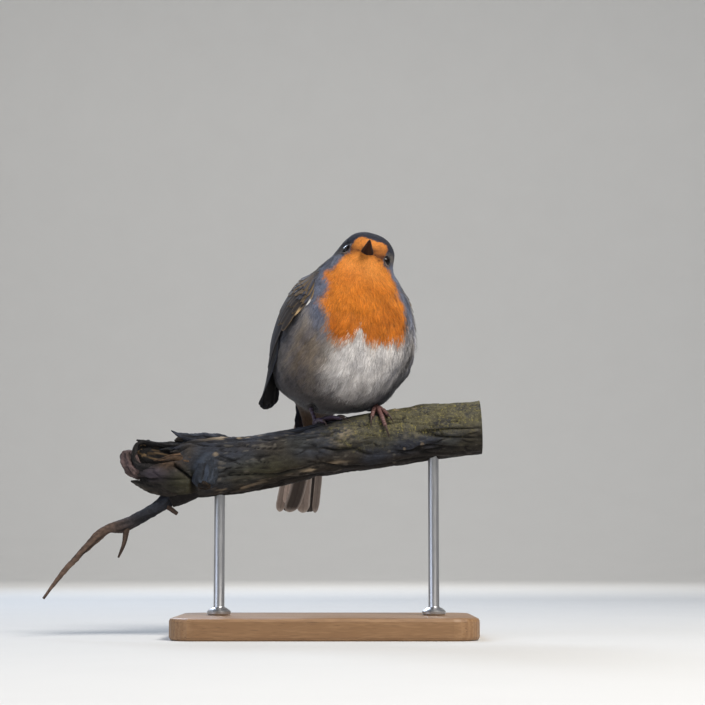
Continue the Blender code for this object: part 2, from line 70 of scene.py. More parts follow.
# Rows down the body from the tail's root to the bill's: back forward and up, belly forward and
# up, half width, share of the head's twist.
SECTIONS = (
    (-37.6, -3.5, -34.8, -4.9, 3.6, 0.0),
    (-36.6, 3.5, -31.0, 0.8, 7.2, 0.0),
    (-34.6, 11.5, -23.5, 3.6, 13.0, 0.0),
    (-33.2, 20.0, -11.5, 2.8, 21.5, 0.0),
    (-31.6, 29.0, 1.5, 3.3, 28.0, 0.0),
    (-29.0, 38.5, 13.5, 6.5, 31.6, 0.0),
    (-25.0, 47.5, 23.0, 14.0, 32.6, 0.0),
    (-19.5, 56.0, 29.2, 24.5, 31.7, 0.0),
    (-13.0, 62.8, 32.2, 36.0, 29.3, 0.0),
    (-6.6, 68.2, 33.0, 46.5, 25.2, 0.05),
    (0.2, 71.8, 32.2, 55.0, 20.0, 0.2),
    (5.2, 75.6, 30.8, 60.8, 15.6, 0.45),
    (8.0, 80.4, 29.4, 64.6, 13.6, 0.75),
    (10.8, 84.4, 28.6, 67.4, 12.5, 1.0),
    (15.5, 85.8, 28.0, 69.7, 10.7, 1.0),
    (20.2, 84.2, 27.5, 71.3, 9.0, 1.0),
    (23.9, 81.4, 27.3, 72.5, 7.1, 1.0),
    (26.2, 78.7, 27.4, 73.4, 4.8, 1.0),
    (27.3, 76.8, 27.7, 74.3, 2.0, 1.0),
)
LAST_SECTION = len(SECTIONS) - 1
SQUARENESS = 2.25
NECK_PIVOT = (13.0, 64.0)
HEAD_TURN = 27.0
HEAD_LEAN = 16.5
HEAD_SHIFT = 2.6
HEAD_MIDDLE = (16.5, 73.0)
HEAD_PITCH = 24.0


def arr(*numbers):
    return np.array(numbers, dtype=float)


def paint(red, green, blue):
    """A colour from everyday 0 to 255 values, as linear light."""
    share = arr(red, green, blue) / 255
    return np.where(share <= 0.04045, share / 12.92, ((share + 0.055) / 1.055) ** 2.4)


def unit(v):
    return v / np.maximum(np.linalg.norm(v, axis=-1, keepdims=True), 1e-9)


def ramp(x, low, high):
    """0 below low, 1 above high and smooth between."""
    t = np.clip((x - low) / (high - low), 0.0, 1.0)
    return t * t * (3 - 2 * t)


def span(x, rise, full, fall, end):
    """1 from full to fall, 0 before rise and after end."""
    return ramp(x, rise, full) * (1 - ramp(x, fall, end))


def blob(x, middle, width):
    return np.exp(-(((x - middle) / width) ** 2))


def mixed(a, b, share):
    share = np.asarray(share)[..., None]
    return a * (1 - share) + b * share


def laid(tone, *layers):
    """A colour with others laid over it in turn, each with its share."""
    for colour, share in layers:
        tone = mixed(tone, colour, np.clip(share, 0, 1))
    return tone


def noise(points, size, seed=0):
    """Smooth noise from -1 to 1, with lumps of about the given size."""
    p = np.asarray(points, dtype=float) / size + seed * 17.31
    cell = np.floor(p).astype(np.int64)
    f = p - cell
    f = f * f * (3 - 2 * f)
    total = np.zeros(p.shape[:-1])
    for corner in np.ndindex(2, 2, 2):
        at = cell + np.array(corner)
        mixed_up = at[..., 0] * 73856093 ^ at[..., 1] * 19349663 ^ at[..., 2] * 83492791
        mixed_up = (mixed_up ^ (mixed_up >> 13)) * 1274126177 & 0x7FFFFFFF
        value = (mixed_up % 65521) / 32760.0 - 1
        weight = np.ones(p.shape[:-1])
        for axis, far in enumerate(corner):
            weight = weight * (f[..., axis] if far else 1 - f[..., axis])
        total += value * weight
    return total


def layered(points, size, octaves=4, seed=0):
    """Noise in layers, each half as coarse and half as strong as the last."""
    total = np.zeros(np.asarray(points).shape[:-1])
    for k in range(octaves):
        total += noise(points, size / 2**k, seed + k) / 2**k
    return total


def through(stations, along):
    """Rows at station numbers, on a smooth curve through all rows."""
    rows = np.array(stations, dtype=float)
    last = len(rows) - 1
    along = np.clip(np.asarray(along, dtype=float), 0, last)
    i = np.minimum(along.astype(int), last - 1)
    t = (along - i)[..., None]
    before, here, after, beyond = (rows[np.clip(i + k, 0, last)] for k in (-1, 0, 1, 2))
    bend = 2 * before - 5 * here + 4 * after - beyond
    turn = 3 * here - before - 3 * after + beyond
    return here + 0.5 * t * ((after - before) + t * (bend + t * turn))


def turned(side, forward, up, pivot, axis, degrees):
    """Side, forward and up, turned about an axis through a pivot in the bird's middle plane."""
    forward, up = forward - pivot[0], up - pivot[1]
    a = np.radians(degrees)
    if axis == "forward":
        side, up = side * np.cos(a) + up * np.sin(a), up * np.cos(a) - side * np.sin(a)
    else:
        side, forward = side * np.cos(a) - forward * np.sin(a), forward * np.cos(a) + side * np.sin(a)
    return side, forward + pivot[0], up + pivot[1]


def place(side, forward, up, twist=0.0):
    """Points from the bird's terms, turned with the head by a share of its whole twist."""
    side, forward, up = turned(side, forward, up, NECK_PIVOT, "forward", HEAD_LEAN * twist)
    side, forward, up = turned(side, forward, up, NECK_PIVOT, "up", HEAD_TURN * twist)
    side = side + HEAD_SHIFT * twist
    h = math.radians(BIRD_HEADING)
    x = BIRD_SIDE + side * math.cos(h) + forward * math.sin(h)
    y = side * math.sin(h) - forward * math.cos(h)
    return np.stack(np.broadcast_arrays(x, y, BRANCH_TOP + up), axis=-1)


def head_place(forward, left, up):
    """Points from the head's own middle and axes."""
    pitch = math.radians(HEAD_PITCH)
    ahead = HEAD_MIDDLE[0] + forward * math.cos(pitch) - up * math.sin(pitch)
    height = HEAD_MIDDLE[1] + forward * math.sin(pitch) + up * math.cos(pitch)
    return place(left, ahead, height, 1.0)


def head_way(forward, left, up):
    """A direction in the head's own terms."""
    return unit(head_place(forward, left, up) - head_place(0.0, 0.0, 0.0))


def body_point(along, angle, height=0.0):
    """Points on the body or over it. Angles run from the back, positive to the bird's left."""
    along, angle = np.broadcast_arrays(np.asarray(along, float), np.asarray(angle, float))
    back_f, back_z, belly_f, belly_z, half_width, twist = np.moveaxis(through(SECTIONS, along), -1, 0)
    a = np.radians(angle)
    power = 2 / SQUARENESS
    across = np.sign(np.sin(a)) * np.abs(np.sin(a)) ** power
    share = 0.5 + 0.5 * np.sign(np.cos(a)) * np.abs(np.cos(a)) ** power
    point = place(half_width * across, belly_f + (back_f - belly_f) * share,
                  belly_z + (back_z - belly_z) * share, twist)
    middle = place(0.0 * half_width, (back_f + belly_f) / 2, (back_z + belly_z) / 2, twist)
    return point + unit(point - middle) * np.asarray(height)[..., None]


def body_axes(along, angle):
    """At each place: how far a section and a degree reach, the way to the tail, sideways and out."""
    small, little = 0.05, 1.0
    ahead = body_point(along + small, angle) - body_point(along - small, angle)
    round_ = body_point(along, angle + little) - body_point(along, angle - little)
    per_section = np.linalg.norm(ahead, axis=-1) / (2 * small)
    per_degree = np.linalg.norm(round_, axis=-1) / (2 * little)
    to_tail = -unit(ahead)
    sideways = unit(round_ - to_tail * np.sum(round_ * to_tail, axis=-1, keepdims=True))
    outward = unit(np.cross(sideways, to_tail))
    middle = body_point(along, 0.0 * angle) / 2 + body_point(along, 0.0 * angle + 180) / 2
    flip = np.sign(np.sum(outward * (body_point(along, angle) - middle), axis=-1, keepdims=True))
    return per_section, per_degree, to_tail, sideways, outward * np.where(flip == 0, 1, flip)


def box_middle(node):
    low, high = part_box(node)
    return (np.array(low) + np.array(high)) / 2 / MM


EYE_MIDDLES = {side: box_middle(f"eye_{side}") for side in SIDES}
EYE_RADIUS = float(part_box("eye_left")[1].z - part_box("eye_left")[0].z) / 2 / MM


def eye_axes(side):
    """The way an eye looks, and the head's forward and up squared to it."""
    flank = SIDES[side]
    out = head_way(0.62, 0.78 * flank, 0.08)
    ahead = head_way(1.0, 0.0, 0.0)
    ahead = unit(ahead - out * np.dot(ahead, out))
    up = np.cross(out, ahead) * flank
    return out, ahead, up if np.dot(up, head_way(0.0, 0.0, 1.0)) > 0 else -up


# ---------------------------------------------------------------- plumage colours

# Half width of the orange, in degrees either side of the belly's middle, at places down the body:
# section, on the bird's left, on its right.
BREAST_EDGE = (
    (7.2, 24, 30), (8.0, 37, 42), (8.7, 41, 53), (9.0, 42, 60), (9.7, 44, 56), (10.05, 46, 60),
    (10.35, 52, 83), (10.8, 54, 74), (11.4, 57, 66), (12.2, 61, 57), (12.8, 56, 51), (13.5, 46, 46),
    (14.4, 44, 42), (14.9, 52, 50), (15.3, 92, 68), (15.6, 128, 88), (15.85, 158, 140), (16.05, 181, 181),
)
BREAST_LOW = 7.62

THROAT = paint(236, 150, 62)
BREAST = paint(215, 126, 31)
BREAST_DEEP = paint(182, 94, 22)
FACE_SHADE_BROWN = paint(100, 54, 24)
BLUE_GREY = paint(104, 112, 134)
# Dark slate-blue: the crown's own dark tone, painted darker and bluer as shade.
CROWN_SHADED = paint(26, 32, 52)
BACK = paint(62, 64, 74)
OLIVE = paint(112, 103, 82)
SCAPULAR_BUFF = paint(140, 116, 84)
BLUE_SHADE = paint(100, 102, 118)
BELLY = paint(230, 226, 224)
FLANK = paint(158, 150, 142)
FLANK_BROWN = paint(128, 110, 88)
# The vent's own grey-brown, darkened further as painted shade under the body.
VENT = paint(76, 72, 72)
FLANK_LIGHT = paint(204, 208, 224)
BREAST_FADE = paint(182, 128, 48)
UNDERTAIL = paint(92, 76, 60)
# The feathers' grey bases, darkened further as painted shade deep in the coat.
ROOT_GREY_AND_SHADE = paint(70, 68, 70)


def drawn_out(along, turn, across, down, size, seed, slant=0.0):
    """Noise in streaks down the body, drawn out by how little it changes across and down."""
    return noise(np.stack([turn * across + slant * along, along * down, 0 * turn], axis=-1), size, seed)


def markings(along, angle):
    """The plumage's colour at places on the body. Skin and feathers share it."""
    along, angle = np.broadcast_arrays(np.asarray(along, float), np.asarray(angle, float))
    turn = (angle % 360) - 180
    side = np.abs(turn)
    at = body_point(along, angle)
    ragged = layered(at, 3.2, 3, 5)
    coarse = layered(at, 9.0, 2, 9)

    # Where the orange of face and breast ends.
    sections, left, right = zip(*BREAST_EDGE)
    wavy = along + 0.13 * ragged * ramp(along, 14.0, 15.0)
    edge = np.where(turn < 0, np.interp(wavy, sections, left), np.interp(wavy, sections, right))
    soft = np.interp(along, (7, 10, 13, 16), (5.0, 4.0, 4.0, 7.0))
    inside = ramp(edge - side + ragged * soft * 0.9, -soft, soft)
    notch = 0.5 * blob(turn, 11, 5) - 0.1 * blob(turn, 34, 10) + 0.12 * blob(turn, -18, 9)
    low = BREAST_LOW + notch + 0.16 * ragged + 0.08 * coarse
    orange = inside * ramp(along, low - 0.16, low + 0.2)

    # The pale underparts, with brown flanks, a dark vent that is partly painted shade, and painted shade in
    # blue-grey.
    # Painted shade in blue-grey streaks between the white feathers: more on the sides, low down and on the
    # viewer's right.
    shade_streaks = 0.22 + 0.4 * ramp(side, 18, 55) * (1 - 0.5 * ramp(turn, 10, 30))
    shade_streaks = shade_streaks + 0.3 * (1 - ramp(along, 4.5, 6.5))
    shade_streaks = shade_streaks + 0.4 * ramp(-turn, 22, 48) * (1 - ramp(along, 6.0, 7.2))
    shade_streaks = shade_streaks * ramp(drawn_out(along, turn, 0.45, 2.0, 1.5, 61, 2.2), -0.1, 0.6)
    strand = ramp(drawn_out(along, turn, 0.5, 0.8, 1.2, 65), 0.05, 0.45) * blob(turn, -64, 15)
    # Painted shade over the low belly on the viewer's right.
    shaded = ramp(-turn, 6, 28) * (1 - ramp(along + 0.4 * coarse, 6.5, 7.5)) * (0.75 + 0.35 * ragged)
    pale = laid(
        mixed(FLANK, BELLY, 1 - ramp(side + 6 * coarse, 20, 44)),
        (FLANK_BROWN, 0.85 * blob(turn, 58, 20) * span(along, 3.5, 5.0, 7.2, 8.2)),
        (BELLY, 0.8 * ramp(noise(at, 2.6, 21), -0.2, 0.5) * blob(turn, -46, 16) * ramp(along, 5.0, 6.4)),
        (BLUE_SHADE, np.minimum(shade_streaks, 0.85)),
        (VENT, 1 - ramp(along + 0.3 * coarse - 0.4 * ramp(-turn, 20, 45), 4.6, 6.5)),
        (FLANK_LIGHT, 0.8 * strand * span(along, 5.8, 6.8, 9.0, 10.0)),
        (UNDERTAIL, 1 - ramp(along, 1.4, 3.0)),
        (BLUE_SHADE * 0.55, 0.85 * shaded))

    # The back, olive behind, with buff bars on the shoulders, and the blue-grey band round the orange.
    # The nape and crown are painted dark slate-blue: painted shade over their own dark tone.
    unseen = ramp(side + 8 * coarse, 96, 124) * (1 - 0.95 * ramp(along, 12.2, 13.8))
    bars = ramp(drawn_out(along, turn, 0.42, 1.3, 1.1, 63), 0.05, 0.45)
    bars = bars * span(side, 66, 80, 120, 140) * span(along, 7.4, 8.4, 9.8, 10.8)
    back = laid(BACK, (CROWN_SHADED, ramp(along, 10.5, 13.5)), (OLIVE, unseen),
                (SCAPULAR_BUFF, np.minimum(bars, 0.85)))
    reach = edge + np.interp(along, (7, 9, 11, 13, 15, 16.5), (12, 24, 30, 22, 16, 10))
    band = (1 - ramp(side + 5 * coarse, reach - 6, reach + 10)) * ramp(along, 7.0, 8.6) * ramp(side, 18, 30)
    band_tone = mixed(BLUE_GREY, CROWN_SHADED, 0.75 * ramp(along, 11.6, 13.6))
    plain = laid(pale, (back, ramp(side + 7 * coarse, 72, 96)), (band_tone, 0.9 * band))

    # Painted shade: between the bill and the eyes, as the bill's shadow across the face towards the eye on
    # the viewer's right, and at the bill's base.
    face_shade = blob(side, 54, 17) * span(along, 14.2, 15.1, 17.0, 17.8)
    face_shade = face_shade + 0.45 * blob(side, 92, 26) * span(along, 14.9, 15.3, 15.9, 16.6)
    face_shade = face_shade + 0.6 * blob(turn, -104, 34) * span(along, 15.9, 16.6, 17.3, 17.9)
    # Painted shade deepens the orange on the lower breast and on the head's sides that face away; a patch
    # of throat colour on the viewer's right of the breast is painted light.
    warm = laid(
        BREAST,
        (THROAT, ramp(along, 10.0, 13.0) * (1 - 0.35 * ramp(side, 20, 60))),
        (BREAST_DEEP, 0.55 * (1 - ramp(along, 7.6, 9.4)) + 0.25 * coarse),
        (BREAST_DEEP * 0.75, 0.8 * ramp(side, 58, 92) * span(along, 10.5, 12.5, 14.4, 15.4)),
        (THROAT, 0.5 * blob(turn, -45, 14) * blob(along, 10.2, 1.3)),
        (BREAST_FADE, (1 - ramp(orange, 0.5, 1.0)) * (1 - ramp(along, 8.6, 9.6))),
        (FACE_SHADE_BROWN, 0.9 * face_shade * (1 + 0.5 * ragged) + 0.6 * ramp(along, 17.1, 17.9)))
    return mixed(plain, warm, orange)


# ---------------------------------------------------------------- meshes and finishes


def new_piece(name, points, faces, colours, uv=None):
    """A mesh object from points in millimetres, groups of faces and colours."""
    data = bpy.data.meshes.new(name)
    points = np.asarray(points, dtype=np.float32) * MM
    groups = [np.asarray(group, dtype=np.int32) for group in faces]
    loops = np.concatenate([f.ravel() for f in groups])
    sizes = np.concatenate([np.full(len(f), f.shape[1], dtype=np.int32) for f in groups])
    data.vertices.add(len(points))
    data.vertices.foreach_set("co", points.ravel())
    data.loops.add(len(loops))
    data.loops.foreach_set("vertex_index", loops)
    data.polygons.add(len(sizes))
    starts = np.concatenate([[0], np.cumsum(sizes)[:-1]]).astype(np.int32)
    data.polygons.foreach_set("loop_start", starts)
    data.update(calc_edges=True)
    data.validate()
    layer = data.attributes.new("colour", "FLOAT_COLOR", "POINT")
    rgba = np.ones((len(points), 4), dtype=np.float32)
    rgba[:, :3] = colours
    layer.data.foreach_set("color", rgba.ravel())
    if uv is not None:
        layer = data.uv_layers.new(name="OFBake")
        layer.data.foreach_set("uv", np.asarray(uv, dtype=np.float32)[loops].ravel())
    data.polygons.foreach_set("use_smooth", np.full(len(sizes), True))
    made = bpy.data.objects.new(name, data)
    bpy.context.scene.collection.objects.link(made)
    return made


def grid_faces(rows, columns, start=0, around=False, closed=False):
    """Quads between rows of points, closed round each row, or from the last row to the first."""
    r, c = np.meshgrid(np.arange(rows if closed else rows - 1),
                       np.arange(columns if around else columns - 1), indexing="ij")
    below, after = (r + 1) % rows, (c + 1) % columns
    quads = np.stack([r * columns + c, r * columns + after, below * columns + after,
                      below * columns + c], axis=-1)
    return quads.reshape(-1, 4) + start


class Bunch:
    """Points, colours and faces of several shells that become one piece."""

    def __init__(self):
        self.points, self.colours, self.quads, self.tris, self.count = [], [], [], [], 0

    def add(self, points, colours, quads, tris=None):
        points = np.asarray(points, dtype=float).reshape(-1, 3)
        self.points.append(points)
        self.colours.append(np.broadcast_to(np.asarray(colours, float).reshape(-1, 3), points.shape))
        self.quads.append(np.asarray(quads) + self.count)
        if tris is not None:
            self.tris.append(np.asarray(tris) + self.count)
        self.count += len(points)

    def tube(self, rings, colours):
        """A closed shell through rings of points, capped at both ends."""
        rings = np.asarray(rings, dtype=float)
        rows, columns = rings.shape[:2]
        colours = np.broadcast_to(np.asarray(colours, float), rings.shape).reshape(-1, 3)
        ends = np.stack([rings[0].mean(axis=0), rings[-1].mean(axis=0)])
        points = np.concatenate([rings.reshape(-1, 3), ends])
        colours = np.concatenate([colours, colours[:1], colours[-1:]])
        c = np.arange(columns)
        after, first, last = (c + 1) % columns, rows * columns, rows * columns + 1
        base = (rows - 1) * columns
        tris = [np.stack([after, c, np.full(columns, first)], axis=-1),
                np.stack([base + c, base + after, np.full(columns, last)], axis=-1)]
        self.add(points, colours, grid_faces(rows, columns, around=True), np.concatenate(tris))

    def piece(self, name, finish, *nodes, slot=None):
        faces = [np.concatenate(f) for f in (self.quads, self.tris) if f]
        made = new_piece(name, np.concatenate(self.points), faces, np.concatenate(self.colours))
        outward(made)
        return dressed(made, finish, *nodes, slot=slot)


def outward(piece):
    """Turns every face of a piece outwards."""
    shaped = bmesh.new()
    shaped.from_mesh(piece.data)
    bmesh.ops.recalc_face_normals(shaped, faces=shaped.faces)
    shaped.to_mesh(piece.data)
    shaped.free()


def dressed(piece, finish, *nodes, slot=None):
    """Gives a piece its finish, hangs it on the root, and hides the nodes it stands for."""
    piece.data.materials.clear()
    piece.data.materials.append(finish)
    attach(piece, "root")
    if nodes:
        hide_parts(*nodes)
    return piece


class Socket:
    """A shader value that plain maths works on."""

    def __init__(self, tree, output):
        self.tree, self.output = tree, output

    def maths(self, operation, *others, swap=False):
        made = self.tree.nodes.new("ShaderNodeMath")
        made.operation = operation
        values = [self, *others]
        if swap:
            values.reverse()
        for socket, value in zip(made.inputs, values):
            plug(self.tree, socket, value)
        return Socket(self.tree, made.outputs[0])

    def __add__(self, other):
        return self.maths("ADD", other)

    def __sub__(self, other):
        return self.maths("SUBTRACT", other)

    def __mul__(self, other):
        return self.maths("MULTIPLY", other)

    def __rsub__(self, other):
        return self.maths("SUBTRACT", other, swap=True)

    __radd__ = __add__
    __rmul__ = __mul__

    def between(self, low, high):
        """0 at low, 1 at high, held outside them."""
        made = self.tree.nodes.new("ShaderNodeMapRange")
        made.interpolation_type = "SMOOTHSTEP"
        for key, value in zip(("Value", "From Min", "From Max"), (self, low, high)):
            plug(self.tree, made.inputs[key], value)
        return Socket(self.tree, made.outputs["Result"])


def plug(tree, socket, value):
    if isinstance(value, Socket):
        tree.links.new(value.output, socket)
    elif isinstance(value, (int, float)):
        socket.default_value = value
    else:
        value = tuple(float(v) for v in value)
        socket.default_value = value + (1.0,) if len(value) == 3 and socket.type == "RGBA" else value


class Finish:
    """A material whose nodes are written as expressions."""

    def __init__(self, name, **constants):
        self.made = bpy.data.materials.new(name)
        self.made.use_nodes = True
        self.tree = self.made.node_tree
        self.shader = next(n for n in self.tree.nodes if n.type == "BSDF_PRINCIPLED")
        self.wear(**constants)

    def node(self, kind, output=0, settings=None, **inputs):
        """Any node: its type, its settings, then the values or links of its sockets."""
        made = self.tree.nodes.new("ShaderNode" + kind)
        for key, value in (settings or {}).items():
            setattr(made, key, value)
        for key, value in inputs.items():
            spaced = key.replace("_", " ")
            socket = made.inputs[int(key[1:])] if key[1:].isdigit() else made.inputs[spaced]
            plug(self.tree, socket, value)
        return Socket(self.tree, made.outputs[output])

    def place(self):
        return self.node("TexCoord", "Object")

    def stretched(self, x, y, z):
        """Object coordinates, scaled along each axis."""
        return self.node("Mapping", Vector=self.place(), Scale=(x, y, z))

    def mottle(self, size_mm, detail=3.0, where=None, rough=0.55):
        """Noise from 0 to 1 with lumps of a size in millimetres."""
        where = where or self.place()
        return self.node("TexNoise", "Fac", Vector=where, Scale=1 / (size_mm * MM), Detail=detail,
                         Roughness=rough)

    def mix(self, share, first, second, blend="MIX"):
        return self.node("Mix", 2, {"data_type": "RGBA", "blend_type": blend}, i0=share, i6=first,
                         i7=second)

    def attribute(self):
        return self.node("Attribute", "Color", {"attribute_name": "colour"})

    def wear(self, **links):
        """Plugs what varies over the surface into the shader."""
        for key, value in links.items():
            plug(self.tree, self.shader.inputs[key.replace("_", " ").title().replace("Ior", "IOR")], value)
        return self

    def bumped(self, height, depth_mm, strength):
        normal = self.node("Bump", "Normal", Height=height, Distance=depth_mm * MM, Strength=strength)
        return self.wear(normal=normal)


def grained_finish(name, grain, stain, dent, rough, **constants):
    """A finish that fine grain stains, dents and roughens: the grain's size and detail, the stain's
    low, high, share and colour, the dents' depth and strength, the least roughness and its spread."""
    made = Finish(name, **constants)
    fine = made.mottle(*grain)
    low, high, share, dark = stain
    colour = made.mix(fine.between(low, high) * share, made.attribute(), dark)
    made.bumped(fine, *dent)
    return made.wear(base_color=colour, roughness=rough[0] + fine * rough[1]).made


# ---------------------------------------------------------------- skin and coat

# Feather length and coat depth at places down the body.
COAT = (
    (0.0, 5.0, 0.6), (1.5, 6.4, 1.4), (3.5, 7.6, 2.2), (5.5, 7.6, 2.4), (7.5, 6.6, 2.3), (9.0, 5.4, 2.0),
    (10.5, 4.4, 1.6), (12.0, 3.4, 1.2), (13.2, 2.6, 0.9), (14.5, 2.0, 0.7), (16.0, 1.6, 0.5),
    (17.0, 1.15, 0.35), (18.0, 0.8, 0.2),
)
COAT_PIECES = (
    ("coat_undertail", 0.0, 2.2), ("coat_vent", 2.2, 3.6), ("coat_belly", 3.6, 4.9),
    ("coat_flanks", 4.9, 6.1), ("coat_lower_breast", 6.1, 7.3), ("coat_breast", 7.3, 8.7),
    ("coat_upper_breast", 8.7, 10.3), ("coat_neck", 10.3, 12.6), ("coat_head", 12.6, 18.0),
)
BARBS = 6
# How far down the coat's depth the skin lies, and how much darker than its feathers it is painted, as shade
# deep in the coat.
SKIN_DEPTH = 0.92
SKIN_SHADE = 0.55
# Places down the body where tufts change, then at each: the gap between tufts in millimetres, a
# tuft's spread for its length, a barb's half width, and how far colours are jittered in sections.
GAP_AT = ((0, 9, 13, 16, 18), (0.56, 0.52, 0.40, 0.32, 0.26))
SPREAD_AT = ((0, 9, 14, 18), (0.15, 0.17, 0.24, 0.28))
BARB_WIDTH_AT = ((0, 9, 13, 18), (0.15, 0.13, 0.085, 0.05))
JITTER_AT = ((0, 9, 14, 18), (0.10, 0.10, 0.07, 0.02))
# How far loose tips over the folded wing's edge stand off the coat.
LOOSE_RISE = 3.2
# Down a barb's five points: how bright it is, how grey, and its place in its patch of the unwrap.
# Darker towards the root: painted shade deep in the coat, over the feathers' own grey bases.
BARB_DEPTH_SHADE = arr(0.42, 0.42, 0.92, 0.92, 1.06)
BARB_GREY = arr(0.45, 0.45, 0.08, 0.08, 0.0)
BARB_UNWRAP = arr(0.5, 0.5, 0.0, 0.0, -0.5)
# Down a barb: share of its length, of its rise and of its half width.
BARB_STATIONS = ((0.0, 0.0, 0.55), (0.55, 0.86, 1.0), (1.0, 1.0, 0.0))
PATCH = 0.003
LID_OPENING = 56.0
LID_THICKNESS = 0.27
EYE_FRONT_RISE = 0.10
LID_RADIUS = EYE_RADIUS * math.sin(math.radians(LID_OPENING))
LID_HEIGHT = EYE_RADIUS * math.cos(math.radians(LID_OPENING))
LEG_GROOVE = {"at": (-15.5, 3.5), "top": 108.0, "reach": 1.7}
# The belly's low corners, drawn in: place and reach along X, place and reach up, how far across and up.
BELLY_CORNERS = ((28, 8, 112, 7, -2.2, 0.9), (-26, 9, 107, 7, 0.8, 1.9))


def coat_at(along):
    """Feather length and coat depth."""
    places, lengths, depths = zip(*COAT)
    return np.interp(along, places, lengths), np.interp(along, places, depths)


def section_lengths(samples=361):
    """How far down the body each section is, as a share of the whole, for the skin's unwrap."""
    along = np.linspace(0, LAST_SECTION, samples)
    rows = through(SECTIONS, along)
    middle = np.stack([(rows[:, 0] + rows[:, 2]) / 2, (rows[:, 1] + rows[:, 3]) / 2], axis=-1)
    steps = np.linalg.norm(np.diff(middle, axis=0), axis=-1) + 0.02
    return along, np.concatenate([[0], np.cumsum(steps)]) / steps.sum()


UNWRAP = section_lengths()


def unwrapped(along, angle):
    """The place on the skin's own unwrap."""
    return np.stack([(angle % 360) / 360, 0.01 + 0.98 * np.interp(along, *UNWRAP)], axis=-1)


def off_eye(points, side):
    """How far points lie along the way an eye looks, how far off that line, and which way off it."""
    out = eye_axes(side)[0]
    arm = points - EYE_MIDDLES[side]
    ahead = arm @ out
    off = arm - ahead[..., None] * out
    return ahead, np.linalg.norm(off, axis=-1), unit(off), out


def settled_coat(base, points):
    """Moves points with the body's surface under them: up to the lids' rims, and up round the leg."""
    shift = np.zeros(base.shape)
    for side in SIDES:
        ahead, off, _, out = off_eye(base, side)
        share = (1 - ramp(off, LID_RADIUS + 0.2, LID_RADIUS + 2.9)) * (ahead > -2.0)
        shift += out * ((LID_HEIGHT + 0.12 - ahead) * share)[..., None]
    x, y = LEG_GROOVE["at"]
    target = LEG_GROOVE["top"] + 0.1 * (base[..., 1] - y)
    share = blob(base[..., 0], x, LEG_GROOVE["reach"]) * (1 - ramp(base[..., 1], y + 0.5, y + 4.5))
    shift[..., 2] += np.maximum(target - base[..., 2], 0) * share * (base[..., 1] > -26)
    for corner, wide, level, tall, across, rise in BELLY_CORNERS:
        share = blob(base[..., 0], corner, wide) * blob(base[..., 2], level, tall)
        shift[..., 0] += across * share
        shift[..., 2] += rise * share
    points = points + shift
    for side in SIDES:
        ahead, off, way, out = off_eye(points, side)
        inside = (off < LID_RADIUS + 0.06) & (ahead > -1.0)
        pushed = EYE_MIDDLES[side] + out * ahead[..., None] + way * (LID_RADIUS + 0.06)
        points = np.where(inside[..., None], pushed, points)
    return points


def on_eye(points):
    """Whether points of the body's surface lie inside either eye's opening."""
    hit = np.zeros(points.shape[:-1], dtype=bool)
    for side in SIDES:
        ahead, off, _, _ = off_eye(points, side)
        hit |= (off < LID_RADIUS + 0.05) & (ahead > -1.0)
    return hit


def plumage_finish():
    made = Finish("plumage", roughness=0.72, sheen_weight=0.25, sheen_roughness=0.45,
                  specular_ior_level=0.22)
    fine = made.mottle(0.35, 2.0)
    colour = made.mix(fine.between(0.3, 0.75) * 0.35, made.attribute(),
                      made.mix(1.0, made.attribute(), (0.62, 0.60, 0.58), "MULTIPLY"))
    return made.wear(base_color=colour).made


def make_skin(finish):
    """One skin for trunk, neck and head, under the coat, with a dish for each eye."""
    rows, columns = 220, 144
    along, angle = np.meshgrid(np.linspace(0, LAST_SECTION, rows), np.arange(columns) * 360 / columns,
                               indexing="ij")
    base = body_point(along, angle)
    points = body_point(along, angle, -coat_at(along)[1] * SKIN_DEPTH)
    shift = settled_coat(base, base) - base
    points = points + shift * ~on_eye(base)[..., None]
    for side in SIDES:
        ahead, off, way, out = off_eye(base, side)
        dish = (1 - ramp(off, LID_RADIUS - 0.2, LID_RADIUS + 0.35)) * (ahead > -1.0)
        sunk = EYE_MIDDLES[side] + way * off[..., None] - out * 0.4
        points = mixed(points, sunk, dish)
    colours = markings(along, angle) * SKIN_SHADE
    bunch = Bunch()
    bunch.tube(points, colours)
    uv = unwrapped(along, angle).reshape(-1, 2)
    ends = np.array([[0.5, 0.005], [0.5, 0.995]])
    faces = [np.concatenate(f) for f in (bunch.quads, bunch.tris)]
    made = new_piece("skin", np.concatenate(bunch.points), faces, np.concatenate(bunch.colours),
                     np.concatenate([uv, ends]))
    outward(made)
    return dressed(made, finish, "trunk", "neck", "head", slot="plumage_pale")


def tuft_roots(rng, density):
    """Section and angle of every tuft's root: rows down the body, jittered."""
    found = []
    along = 0.12
    while along < LAST_SECTION - 0.12:
        reach = body_axes(arr(along), arr(180.0))[0][0]
        ring = body_point(np.full(72, along), np.arange(72) * 5.0)
        girth = np.linalg.norm(ring - np.roll(ring, 1, axis=0), axis=-1).sum()
        gap = np.interp(along, *GAP_AT) / math.sqrt(density)
        count = max(int(girth / gap), 8)
        steps = np.linalg.norm(np.roll(ring, -1, axis=0) - ring, axis=-1)
        walked = np.concatenate([[0], np.cumsum(steps)]) / steps.sum()
        shares = (np.arange(count) + rng.uniform(0, 1) + rng.normal(0, 0.33, count)) / count % 1.0
        angles = np.interp(shares, walked, np.arange(73) * 5.0)
        back_reach = body_axes(arr(along), arr(0.0))[0][0]
        step = gap / min(reach, back_reach)
        found.append(np.stack([along + rng.normal(0, 0.3, count) * step, angles], axis=-1))
        along += gap / np.clip((reach + back_reach) / 2, 0.8, 20)
    return np.concatenate(found)


